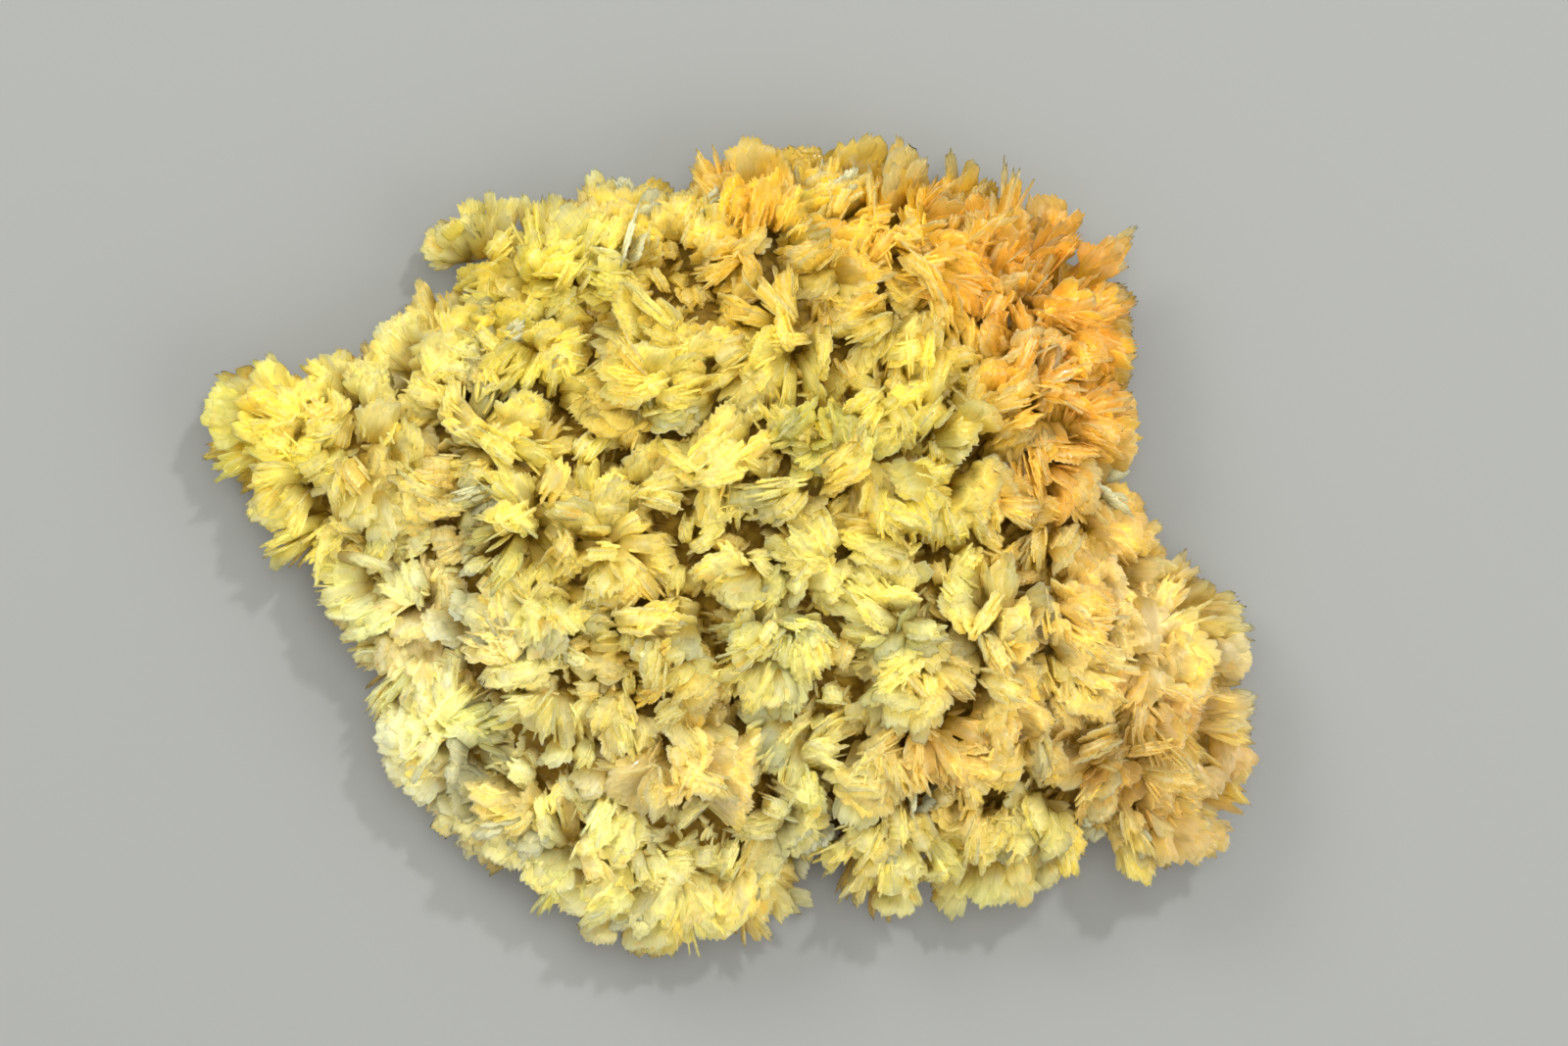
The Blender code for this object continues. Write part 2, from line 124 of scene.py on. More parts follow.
BALLS = {(478, 240), (768, 675), (1102, 782), (770, 840), (890, 640), (640, 545)}
CLUSTERS = [Cluster(*row) for row in (
    # The left tip.
    (222, 410, 22, 172, 66, 40), (238, 402, 20, 112, 60, 75), (268, 404, 26, 120, 50, 75),
    (298, 398, 22, 95, 60, 70), (255, 428, 28, 160, 35, 10), (226, 446, 22, 215, 60, 45),
    (265, 458, 28, 235, 60, 60), (303, 430, 26, 60, 30, 20), (325, 415, 22, 90, 35, 0),
    (345, 382, 26, 92, 60, 5), (305, 462, 26, 250, 45, 70), (278, 498, 34, 205, 52, 15),
    (290, 545, 34, 225, 55, 15), (335, 480, 26, 270, 40, 65), (372, 492, 30, 305, 45, 15),
    (352, 435, 24, 280, 40, 30), (385, 400, 28, 75, 55, 40), (395, 445, 26, 320, 40, 60),
    (345, 535, 34, 335, 50, 10), (392, 550, 28, 300, 50, 60), (355, 574, 42, 352, 74, 0),
    (425, 470, 26, 355, 60, 70), (425, 515, 30, 210, 50, 60), (452, 495, 28, 275, 50, 70),
    # The upper left.
    (478, 240, 38, 125, 35, 30), (517, 225, 20, 80, 60, 50), (520, 285, 32, 265, 45, 10),
    (470, 290, 30, 240, 45, 60), (434, 300, 20, 75, 75, 0), (455, 355, 34, 85, 50, 60),
    (430, 335, 28, 130, 60, 20), (393, 345, 30, 115, 60, 20), (362, 376, 26, 110, 60, 10),
    (548, 225, 26, 100, 60, 10), (560, 268, 30, 60, 30, 20), (566, 306, 20, 270, 60, 80),
    (590, 238, 34, 80, 42, 30), (620, 208, 32, 95, 60, 60), (655, 208, 30, 50, 60, 60),
    (640, 252, 36, 260, 35, 20), (610, 288, 32, 200, 50, 60), (485, 345, 32, 60, 40, 60),
    (525, 345, 30, 20, 50, 60), (487, 378, 26, 200, 40, 60), (545, 378, 36, 260, 35, 20),
    (578, 340, 30, 40, 40, 50), (594, 388, 28, 15, 60, 20), (430, 395, 36, 160, 50, 10),
    (490, 415, 34, 60, 45, 5), (470, 455, 36, 180, 58, 15), (535, 460, 40, 340, 45, 15),
    (562, 442, 26, 60, 60, 30),
    # The upper edge.
    (700, 218, 34, 100, 42, 40), (742, 215, 32, 70, 50, 20), (735, 275, 34, 215, 45, 10),
    (765, 172, 42, 92, 60, 15), (733, 176, 24, 150, 60, 70), (795, 172, 24, 30, 60, 10),
    (830, 164, 28, 140, 60, 60), (864, 160, 28, 45, 60, 60), (870, 197, 38, 60, 45, 15),
    (815, 217, 40, 60, 45, 10), (925, 180, 40, 82, 60, 15), (946, 217, 36, 45, 50, 10),
    (1003, 198, 36, 72, 60, 20), (930, 255, 36, 250, 40, 60), (870, 247, 34, 120, 40, 60),
    (880, 282, 36, 0, 50, 10), (828, 275, 40, 200, 45, 15), (1010, 247, 42, 110, 40, 10),
    (1040, 287, 30, 290, 45, 20), (975, 302, 42, 320, 45, 15), (935, 292, 34, 230, 45, 60),
    # The upper right.
    (1076, 210, 30, 90, 72, 20), (1045, 228, 26, 60, 55, 30), (1130, 262, 36, 30, 60, 20),
    (1085, 287, 34, 60, 30, 60), (1146, 316, 26, 0, 68, 70), (1120, 327, 36, 30, 58, 10),
    (1060, 347, 42, 60, 45, 10), (1088, 377, 36, 20, 45, 10), (1122, 360, 34, 350, 60, 70),
    (1134, 420, 40, 20, 50, 20), (1096, 427, 28, 60, 50, 10), (1136, 465, 36, 340, 60, 30),
    (1148, 532, 38, 20, 60, 60), (1172, 577, 34, 350, 62, 50), (1168, 620, 32, 330, 50, 70),
    (1130, 562, 34, 270, 40, 10), (1070, 500, 42, 280, 35, 10), (1075, 570, 34, 275, 40, 10),
    (1097, 606, 24, 270, 45, 10), (1035, 440, 36, 250, 40, 40), (1025, 400, 34, 60, 40, 50),
    # The middle.
    (960, 412, 38, 60, 40, 20), (905, 442, 38, 270, 40, 50), (870, 432, 34, 120, 45, 60),
    (885, 352, 42, 230, 45, 10), (945, 372, 34, 300, 40, 60), (808, 387, 42, 265, 40, 15),
    (752, 392, 34, 250, 45, 20), (780, 330, 42, 160, 40, 15), (688, 340, 30, 60, 55, 20),
    (648, 345, 42, 200, 30, 60), (640, 412, 44, 220, 40, 60), (704, 408, 30, 200, 45, 30),
    (682, 385, 38, 60, 25, 40), (716, 345, 24, 80, 60, 40), (745, 450, 34, 100, 45, 60),
    (720, 502, 44, 240, 45, 20), (672, 482, 36, 70, 40, 60), (778, 512, 40, 210, 40, 15),
    (820, 472, 38, 250, 50, 50), (882, 490, 38, 300, 40, 50), (930, 517, 36, 320, 45, 20),
    (878, 557, 40, 200, 45, 20), (816, 562, 36, 180, 45, 20), (982, 520, 40, 310, 40, 15),
    (1022, 522, 34, 320, 40, 15), (1000, 622, 50, 110, 20, 15), (618, 490, 28, 80, 60, 20),
    (582, 505, 32, 320, 45, 50), (515, 545, 50, 200, 30, 30), (640, 545, 46, 20, 30, 20),
    (662, 590, 36, 320, 45, 20), (594, 577, 28, 300, 50, 50), (540, 600, 36, 60, 40, 60),
    (435, 592, 30, 90, 45, 15), (500, 620, 42, 176, 64, 40), (576, 637, 42, 290, 40, 10),
    (760, 602, 38, 250, 35, 20), (816, 612, 34, 280, 40, 30), (768, 675, 44, 240, 35, 40),
    (796, 694, 24, 265, 50, 10), (818, 668, 34, 280, 40, 10), (890, 640, 44, 200, 30, 30),
    (905, 702, 50, 230, 30, 20), (672, 630, 42, 10, 55, 5), (682, 672, 34, 190, 45, 5),
    (690, 702, 36, 270, 35, 30), (622, 655, 30, 0, 50, 5),
    # The lower left.
    (405, 602, 30, 180, 45, 60), (352, 612, 38, 205, 58, 15), (422, 642, 34, 270, 40, 60),
    (384, 684, 40, 235, 50, 5), (432, 682, 34, 270, 45, 5), (510, 672, 42, 230, 30, 60),
    (567, 737, 38, 272, 50, 20), (488, 730, 46, 18, 50, 10), (498, 775, 42, 0, 60, 5),
    (408, 738, 42, 160, 54, 50), (418, 778, 36, 245, 55, 20), (466, 828, 36, 205, 60, 60),
    (500, 868, 34, 235, 60, 60), (580, 842, 52, 100, 20, 20), (626, 852, 34, 300, 50, 60),
    (560, 902, 34, 245, 55, 20), (622, 907, 32, 190, 55, 10), (614, 944, 34, 215, 60, 20),
    (664, 952, 34, 265, 66, 60), (686, 907, 34, 50, 50, 50), (704, 940, 34, 300, 50, 20),
    (740, 946, 28, 285, 60, 40), (746, 902, 36, 100, 30, 40), (778, 926, 32, 325, 60, 50),
    (702, 797, 50, 280, 25, 15), (722, 752, 32, 330, 50, 50), (640, 752, 32, 280, 50, 15),
    (622, 727, 28, 270, 50, 20), (770, 840, 46, 200, 35, 10), (808, 862, 32, 310, 55, 40),
    # The lower right.
    (836, 742, 40, 60, 52, 20), (784, 762, 38, 220, 58, 10), (838, 812, 30, 330, 40, 60),
    (962, 692, 40, 330, 45, 10), (1032, 702, 34, 335, 55, 5), (888, 800, 44, 268, 38, 80),
    (925, 790, 38, 280, 45, 10), (972, 770, 38, 300, 50, 10), (1008, 777, 34, 340, 50, 10),
    (1042, 732, 32, 340, 55, 50), (1040, 787, 34, 260, 50, 10), (1096, 722, 34, 100, 40, 20),
    (1102, 782, 46, 220, 35, 15), (1128, 757, 26, 45, 60, 20), (1100, 650, 50, 320, 35, 5),
    (1148, 642, 30, 10, 55, 30), (1122, 702, 42, 310, 48, 5), (1182, 655, 24, 20, 60, 70),
    (1070, 692, 30, 280, 50, 20), (1206, 702, 44, 290, 35, 50), (1182, 757, 34, 300, 45, 20),
    (1234, 640, 38, 60, 50, 10), (1262, 664, 30, 345, 64, 50), (1232, 682, 34, 310, 50, 60),
    (1256, 745, 34, 330, 60, 20), (1256, 786, 36, 320, 68, 10), (1206, 792, 42, 350, 55, 15),
    (1230, 822, 36, 332, 62, 10), (1206, 846, 42, 322, 60, 20), (1186, 866, 24, 270, 64, 60),
    (1124, 832, 28, 290, 50, 50), (890, 880, 40, 265, 52, 15), (905, 920, 24, 265, 64, 50),
    (945, 872, 38, 290, 50, 10), (962, 912, 24, 310, 64, 20), (1000, 860, 38, 270, 40, 15),
    (1058, 852, 40, 250, 35, 10), (1030, 906, 38, 262, 60, 40), (1076, 868, 30, 325, 55, 60),
)]


CLEAR_CLUSTERS = [Cluster(*row) for row in (
    (480, 508, 20, 250, 40, 40), (537, 338, 16, 60, 40, 30), (610, 192, 34, 92, 30, 50),
    (630, 190, 30, 70, 50, 70), (582, 348, 20, 40, 40, 60), (722, 202, 20, 100, 40, 60),
    (868, 164, 20, 90, 45, 60), (462, 810, 26, 200, 50, 60), (484, 874, 26, 220, 52, 70),
    (527, 872, 28, 240, 45, 70), (664, 958, 22, 265, 50, 60), (795, 898, 26, 290, 50, 60),
    (828, 858, 26, 300, 45, 60), (910, 880, 22, 280, 50, 30), (1036, 785, 28, 80, 35, 10),
    (1110, 836, 28, 260, 45, 70), (1150, 496, 16, 345, 50, 60), (1182, 862, 24, 280, 52, 60),
    (945, 812, 20, 320, 45, 40),
)]


class Plate(NamedTuple):
    """A single plate that stands out: its middle in pixels of the photograph, its size in millimetres and its pose.

    lean is the way that it points across the plate, rise how far it points out of it, turn how far it is
    turned about its length, 0 for flat to the viewer, and lift how far its middle is above its neighbours.
    """

    x: float
    y: float
    length: float
    width: float
    lean: float
    rise: float
    turn: float
    lift: float


PLATE_ROWS = [Plate(*row) for row in (
    (374, 573, 7.6, 2.2, 350, 12, 66, 0.4), (712, 352, 4.6, 2.0, 80, 30, 40, 0.5),
    (968, 772, 7.0, 2.0, 300, 20, 40, 0.4), (478, 619, 6.6, 3.2, 184, 16, 25, 0.8),
    (790, 704, 6.0, 2.4, 265, 25, 25, 0.6), (882, 806, 12.4, 5.0, 268, 10, 12, 0.6),
    (568, 770, 5.6, 3.0, 250, 35, 30, 0.8), (805, 190, 5.0, 0.9, 100, 30, 40, 0.6),
    (975, 228, 5.0, 0.9, 70, 30, 40, 0.6), (410, 748, 8.0, 5.0, 160, 12, 15, 0.2),
    (452, 358, 8.6, 4.0, 82, 20, 20, 0.6), (640, 392, 8.0, 5.4, 230, 20, 20, 0.2),
    (668, 372, 7.0, 4.6, 60, 24, 25, 0.4), (366, 520, 8.0, 3.6, 270, 22, 30, 0.5),
    (390, 530, 7.4, 3.4, 285, 22, 30, 0.4), (345, 505, 7.0, 2.6, 95, 30, 50, 0.6),
    (388, 425, 7.6, 3.0, 70, 30, 30, 1.0), (448, 640, 6.0, 3.6, 200, 20, 20, 0.4),
    (1000, 425, 6.0, 4.0, 30, 24, 25, 0.6), (925, 490, 6.0, 4.0, 200, 22, 30, 0.4),
    (742, 470, 6.2, 3.6, 140, 24, 30, 0.5), (864, 470, 5.2, 3.4, 255, 30, 25, 0.7),
    (1135, 590, 6.0, 4.0, 345, 20, 30, 0.6), (1075, 640, 6.2, 2.2, 320, 20, 50, 0.8),
    (1090, 665, 5.8, 2.0, 325, 20, 50, 0.8), (1232, 860, 6.4, 2.4, 330, 10, 45, 0.0),
    (560, 655, 6.0, 3.6, 300, 24, 25, 0.6), (700, 660, 6.0, 3.4, 260, 22, 25, 0.4),
    (600, 800, 6.0, 3.4, 240, 25, 30, 0.5), (1180, 700, 6.0, 3.2, 310, 20, 30, 0.6),
    (1212, 858, 10.0, 4.4, 322, 8, 14, 0.4), (1226, 800, 10.0, 3.6, 318, 10, 18, 0.8),
    (1262, 775, 8.0, 3.4, 302, 12, 14, 0.4), (1100, 665, 7.0, 3.4, 318, 22, 24, 1.0),
    (1172, 640, 7.6, 4.6, 300, 20, 20, 1.0), (1150, 545, 6.4, 4.4, 330, 24, 22, 0.8),
    # The lobes of the outline.
    (225, 416, 8.0, 4.2, 166, 6, 15, -1.2), (228, 438, 7.0, 3.4, 190, 6, 25, -1.6),
    (1074, 213, 8.0, 3.8, 92, 8, 20, -1.2), (1090, 226, 7.0, 3.0, 70, 12, 35, -1.0),
    (1130, 262, 7.2, 3.6, 44, 10, 20, -0.8), (1145, 418, 7.0, 3.6, 5, 8, 20, -1.0),
    (1146, 458, 7.0, 3.6, 350, 8, 30, -1.4), (1262, 672, 7.0, 3.8, 350, 6, 15, -1.2),
    (1266, 783, 7.2, 3.2, 335, 6, 20, -1.2), (1240, 862, 8.0, 3.4, 322, 6, 15, -1.6),
    (1040, 905, 8.0, 4.2, 285, 8, 18, -1.0), (1010, 910, 7.6, 4.0, 266, 8, 25, -1.4),
    (1064, 890, 7.6, 3.8, 300, 8, 20, -1.2), (914, 922, 7.0, 3.6, 268, 8, 20, -1.4),
    (738, 942, 7.6, 4.0, 280, 8, 18, -1.2), (655, 956, 8.0, 4.2, 268, 6, 15, -1.6),
    (610, 948, 7.0, 3.6, 240, 8, 25, -1.4), (580, 918, 7.6, 4.0, 226, 8, 20, -1.4),
    (400, 745, 8.0, 4.4, 170, 8, 18, -1.0), (407, 780, 7.6, 4.0, 204, 8, 20, -1.2),
    (428, 805, 7.0, 3.6, 216, 8, 25, -1.4), (396, 336, 6.6, 3.4, 124, 8, 20, -1.2),
    (766, 161, 7.6, 4.0, 95, 8, 20, -1.2),
)]


class Hollow(NamedTuple):
    """A deep gap between rosettes: its middle and radius in pixels of the photograph."""

    x: float
    y: float
    radius: float


HOLLOWS = tuple(Hollow(*row) for row in (
    (405, 490, 18), (575, 410, 12), (235, 430, 8), (640, 470, 14), (575, 560, 12), (640, 780, 12),
    (745, 725, 14), (840, 775, 12), (805, 790, 12), (1010, 475, 18), (985, 745, 12), (1015, 745, 12),
    (1120, 750, 12), (1118, 385, 12), (1085, 400, 10), (1130, 293, 10), (860, 505, 12), (945, 560, 12),
    (475, 395, 10), (495, 395, 10), (550, 330, 10),
))


def plate_place(x: float, y: float) -> Vector:
    """The place on the specimen, in metres from its middle, of a pixel of the photograph."""
    return Vector(((x - PHOTO_MIDDLE[0]) * PIXEL, (PHOTO_MIDDLE[1] - y) * PIXEL))


def turned(vector: Vector, axis: Vector, degrees: float) -> Vector:
    """The vector, turned about an axis by so many degrees."""
    return Matrix.Rotation(math.radians(degrees), 3, axis) @ vector


@dataclass
class Nodes:
    """A short way to add shader nodes to a material's tree."""

    tree: bpy.types.NodeTree

    def add(self, kind: str, **settings: object) -> bpy.types.Node:
        """Adds a node and sets its properties.

        Args:
            kind: The node's type name.
            settings: Properties of the node by name.

        Returns:
            The new node.
        """
        made = self.tree.nodes.new(kind)
        for name, value in settings.items():
            setattr(made, name, value)
        return made

    def feed(self, socket: bpy.types.NodeSocket, value: object) -> None:
        """Links a socket to an output, or sets it to a plain value.

        Args:
            socket: The input to feed.
            value: An output, a number, a vector or a colour.
        """
        if isinstance(value, bpy.types.NodeSocket):
            self.tree.links.new(value, socket)
        elif isinstance(value, tuple) and len(value) == 3 and socket.type == "RGBA":
            socket.default_value = (*value, 1.0)
        else:
            socket.default_value = value

    def place(self) -> bpy.types.NodeSocket:
        """The place on the specimen."""
        return self.add("ShaderNodeTexCoord").outputs["Object"]

    def attribute(self, name: str, output: str = "Fac") -> bpy.types.NodeSocket:
        """An attribute that the mesh carries."""
        return self.add("ShaderNodeAttribute", attribute_name=name).outputs[output]

    def parts(self, vector: bpy.types.NodeSocket) -> list[bpy.types.NodeSocket]:
        """The three numbers of a vector."""
        made = self.add("ShaderNodeSeparateXYZ")
        self.feed(made.inputs[0], vector)
        return list(made.outputs)

    def maths(self, operation: str, first: object, second: object) -> bpy.types.NodeSocket:
        """Reckons with two numbers.

        Args:
            operation: The name of what a Math node does.
            first: The first number.
            second: The second number.

        Returns:
            The output that carries the result.
        """
        made = self.add("ShaderNodeMath", operation=operation)
        self.feed(made.inputs[0], first)
        self.feed(made.inputs[1], second)
        return made.outputs[0]

    def vector(self, operation: str, first: object, second: object) -> bpy.types.NodeSocket:
        """Reckons with two vectors.

        Args:
            operation: The name of what a Vector Math node does.
            first: The first vector.
            second: The second vector.

        Returns:
            The output that carries the result, a number for a distance.
        """
        made = self.add("ShaderNodeVectorMath", operation=operation)
        self.feed(made.inputs[0], first)
        self.feed(made.inputs[1], second)
        return made.outputs["Value" if operation == "DISTANCE" else "Vector"]

    def mix(self, factor: object, first: object, second: object, blend: str = "MIX") -> bpy.types.NodeSocket:
        """Mixes two colours.

        Args:
            factor: How much of the second, from 0 to 1.
            first: The first colour.
            second: The second colour.
            blend: How the second goes over the first.

        Returns:
            The output that carries the colour.
        """
        made = self.add("ShaderNodeMix", data_type="RGBA", blend_type=blend, clamp_factor=True)
        for number, value in ((0, factor), (6, first), (7, second)):
            self.feed(made.inputs[number], value)
        return made.outputs[2]

    def spread(self, value: object, low: float, high: float, to_low: float = 0.0,
               to_high: float = 1.0) -> bpy.types.NodeSocket:
        """Takes a number smoothly from one range to another, and keeps it within that.

        Args:
            value: The number.
            low: Where the first range starts.
            high: Where it ends.
            to_low: Where the second range starts.
            to_high: Where it ends.

        Returns:
            The output that carries the result.
        """
        made = self.add("ShaderNodeMapRange", interpolation_type="SMOOTHSTEP", clamp=True)
        for socket, number in zip(made.inputs[:5], (value, low, high, to_low, to_high)):
            self.feed(socket, number)
        return made.outputs[0]

    def noise(self, vector: object, scale: float, detail: float = 2.0,
              output: str = "Fac") -> bpy.types.NodeSocket:
        """A Noise texture.

        Args:
            vector: Where to read it.
            scale: How fine it is.
            detail: How many finer layers it has.
            output: Fac for its number, or Color.

        Returns:
            The output that carries it.
        """
        made = self.add("ShaderNodeTexNoise")
        self.feed(made.inputs["Vector"], vector)
        made.inputs["Scale"].default_value = scale
        made.inputs["Detail"].default_value = detail
        return made.outputs[output]

    def glow(self, shader: bpy.types.Node, colour: Colour, depth: float) -> None:
        """Carries light under the surface, as waxy barite does.

        Args:
            shader: The finish's shader.
            colour: How far each part of the light goes, as a share of the depth.
            depth: How far the light goes.
        """
        shader.subsurface_method = "BURLEY"
        shader.inputs["Subsurface Weight"].default_value = 0.9
        shader.inputs["Subsurface Radius"].default_value = colour
        shader.inputs["Subsurface Scale"].default_value = depth

    def bump(self, shader: bpy.types.Node, height: bpy.types.NodeSocket, strength: float, depth: float) -> None:
        """Roughens the surface.

        Args:
            shader: The finish's shader.
            height: The number that says how high the surface stands.
            strength: How strong the bump is.
            depth: How deep it is.
        """
        made = self.add("ShaderNodeBump")
        made.inputs["Strength"].default_value = strength
        made.inputs["Distance"].default_value = depth
        self.feed(made.inputs["Height"], height)
        self.feed(shader.inputs["Normal"], made.outputs[0])


def new_finish(name: str) -> tuple[bpy.types.Material, Nodes, bpy.types.Node]:
    """Starts a finish.

    Args:
        name: The material's name.

    Returns:
        The material, its nodes and its shader.
    """
    made = bpy.data.materials.new(name)
    made.use_nodes = True
    return made, Nodes(made.node_tree), made.node_tree.nodes["Principled BSDF"]


class Zone(NamedTuple):
    """A part of the specimen with a tint: middle in pixels, reach in millimetres, and strength. Most tints are the
    barite's own colour; a few are painted shade.
    """

    x: float
    y: float
    reach: float
    colour: Colour
    strength: float


ZONES = (
    Zone(245, 430, 20, (0.88, 0.80, 0.16), 0.9),
    Zone(350, 490, 20, (0.84, 0.70, 0.22), 0.7),
    Zone(470, 235, 10, (0.90, 0.72, 0.12), 0.9),
    Zone(505, 300, 14, (0.70, 0.56, 0.10), 0.8),
    Zone(640, 370, 24, (0.82, 0.70, 0.16), 0.85),
    Zone(830, 200, 26, (0.84, 0.56, 0.05), 0.85),
    Zone(1000, 220, 20, (0.80, 0.51, 0.05), 0.75),
    Zone(1095, 310, 26, (0.80, 0.41, 0.05), 0.9),
    Zone(1110, 460, 22, (0.78, 0.45, 0.08), 0.75),
    Zone(1150, 570, 22, (0.78, 0.53, 0.15), 0.8),
    Zone(900, 470, 24, (0.78, 0.66, 0.12), 0.7),
    Zone(610, 570, 22, (0.86, 0.72, 0.22), 0.7),
    Zone(410, 690, 24, (0.95, 0.94, 0.64), 0.95),
    Zone(640, 722, 13, (0.56, 0.42, 0.08), 0.85),
    Zone(570, 850, 24, (0.93, 0.90, 0.54), 0.9),
    Zone(720, 820, 18, (0.90, 0.84, 0.50), 0.85),
    Zone(890, 690, 20, (0.92, 0.86, 0.42), 0.85),
    Zone(905, 800, 14, (0.80, 0.78, 0.42), 0.8),
    Zone(1010, 760, 20, (0.82, 0.62, 0.24), 0.7),
    Zone(1230, 690, 22, (0.90, 0.74, 0.40), 0.85),
    # Partly the barite's own brown, partly painted shade on the lower right.
    Zone(1215, 820, 20, (0.66, 0.45, 0.17), 0.85),
    # Painted shadow: a dark brown patch standing for a deep gap between rosettes.
    Zone(1142, 778, 9, (0.42, 0.26, 0.05), 0.6),
)


@dataclass(frozen=True)
class BariteFinish:
    """Waxy yellow barite: tinted by zone, with painted shade of deep gold at each blade's root and where it lies
    below the blades round it, and pale along its thin rim.
    """

    body: Colour = (0.84, 0.77, 0.34)
    # root is painted shade: the deep gold laid on blade roots and on blades sunk below their neighbours.
    root: Colour = (0.50, 0.30, 0.01)
    rim: Colour = (0.95, 0.91, 0.64)
    warm: Colour = (1.0, 0.88, 0.72)
    cool: Colour = (0.97, 1.0, 0.85)
    bright: Colour = (0.93, 0.72, 0.07)
    cream: Colour = (0.93, 0.85, 0.46)
    spot: Colour = (0.92, 0.58, 0.09)
    roughness: float = 0.34
    glow: Colour = (1.0, 0.86, 0.42)
    glow_depth: float = 3.0 * MM
    drift_scale: float = 70.0
    drift: tuple[float, float, float] = (22 * MM, 22 * MM, 0.0)
    zone_border: float = 0.25
    zone_height: float = 14 * MM
    spot_scale: float = 420.0
    # The two fields below set the painted shade: the depths in millimetres below the blades round it over which it
    # grows, and how strong it is at most.
    painted_shade_span: tuple[float, float] = (0.9, 4.8)
    painted_shade_share: float = 0.75
    grain_bump: tuple[float, float] = (0.6, 0.07 * MM)

    def zone_colour(self, nodes: Nodes) -> bpy.types.NodeSocket:
        """The tint of each part of the specimen, with uneven borders.

        Args:
            nodes: The material's nodes.

        Returns:
            The output that carries the colour.
        """
        place = nodes.place()
        drift = nodes.vector("SUBTRACT", nodes.noise(place, self.drift_scale, 2.0, "Color"), (0.5, 0.5, 0.5))
        place = nodes.vector("ADD", place, nodes.vector("MULTIPLY", drift, self.drift))
        colour: object = self.body
        for zone in ZONES:
            middle = plate_place(zone.x, zone.y)
            away = nodes.vector("DISTANCE", place, (middle.x, middle.y, self.zone_height))
            share = nodes.spread(away, zone.reach * MM, zone.reach * MM * self.zone_border, 0.0, zone.strength)
            colour = nodes.mix(share, colour, zone.colour)
        return colour

    def blade_colour(self, nodes: Nodes, tone: list[bpy.types.NodeSocket], edge: bpy.types.NodeSocket,
                     grain: bpy.types.NodeSocket) -> bpy.types.NodeSocket:
        """The colour of the blades, each with a tone of its own, with painted shade towards their roots and below the
        blades round them.

        Args:
            nodes: The material's nodes.
            tone: The blade's growth, from its root at 0 to its crest at 1, then its lightness and its hue.
            edge: 1 at the blade's thin rim, and 0 on its faces.
            grain: The grain along the blade.

        Returns:
            The output that carries the colour.
        """
        growth, light, hue = tone
        colour = self.zone_colour(nodes)
        colour = nodes.mix(nodes.spread(hue, 0.0, 1.0), colour, self.warm, "MULTIPLY")
        colour = nodes.mix(nodes.spread(hue, 0.0, -1.0), colour, self.cool, "MULTIPLY")
        crest = nodes.maths("MULTIPLY", nodes.spread(growth, 0.55, 0.95), nodes.spread(light, 0.35, 0.9))
        colour = nodes.mix(nodes.maths("MULTIPLY", crest, 0.5), colour, self.bright)
        colour = nodes.mix(nodes.spread(light, -0.2, -0.9, 0.0, 0.55), colour, self.cream)
        spots = nodes.noise(nodes.place(), self.spot_scale, 2.0)
        colour = nodes.mix(nodes.spread(spots, 0.62, 0.74, 0.0, 0.5), colour, self.spot)
        rim = nodes.maths("MULTIPLY", nodes.spread(edge, 0.55, 1.0), nodes.spread(growth, 0.25, 0.8))
        colour = nodes.mix(nodes.maths("MULTIPLY", rim, 0.45), colour, self.rim)
        streak = nodes.spread(grain, 0.3, 0.7, 0.93, 1.04)
        shade = nodes.add("ShaderNodeCombineColor")
        bright = nodes.maths("MULTIPLY", streak, nodes.spread(light, -1.0, 1.0, 0.82, 1.1))
        for socket in shade.inputs:
            nodes.feed(socket, bright)
        colour = nodes.mix(1.0, colour, shade.outputs[0], "MULTIPLY")
        # Painted shade: deep gold towards each blade's root and where the blade lies below the blades round it.
        sunk = nodes.spread(nodes.attribute("painted_shade_depth"), *self.painted_shade_span)
        depth = nodes.maths("MAXIMUM", nodes.spread(growth, 0.45, 0.05), sunk)
        return nodes.mix(nodes.maths("MULTIPLY", depth, self.painted_shade_share), colour, self.root)

    def material(self) -> bpy.types.Material:
        """Builds the finish.

        Returns:
            The material, which reads the attributes blade_tone, blade_place, blade_edge and painted_shade_depth.
        """
        made, nodes, shader = new_finish("yellow_barite")
        tone = nodes.parts(nodes.attribute("blade_tone", "Vector"))
        edge = nodes.attribute("blade_edge")
        grain_place = nodes.attribute("blade_place", "Vector")
        grain = nodes.noise(grain_place, 1.0, 3.0)
        nodes.feed(shader.inputs["Base Color"], self.blade_colour(nodes, tone, edge, grain))
        polish = nodes.noise(nodes.vector("MULTIPLY", grain_place, (0.4, 0.4, 1.0)), 1.0, 2.0)
        polish = nodes.spread(polish, 0.38, 0.62, self.roughness - 0.2, self.roughness + 0.14)
        wet_rim = nodes.spread(edge, 0.6, 1.0, 1.0, 0.4)
        nodes.feed(shader.inputs["Roughness"], nodes.maths("MULTIPLY", polish, wet_rim))
        shader.inputs["IOR"].default_value = BARITE_IOR
        nodes.glow(shader, self.glow, self.glow_depth)
        nodes.bump(shader, grain, *self.grain_bump)
        return made


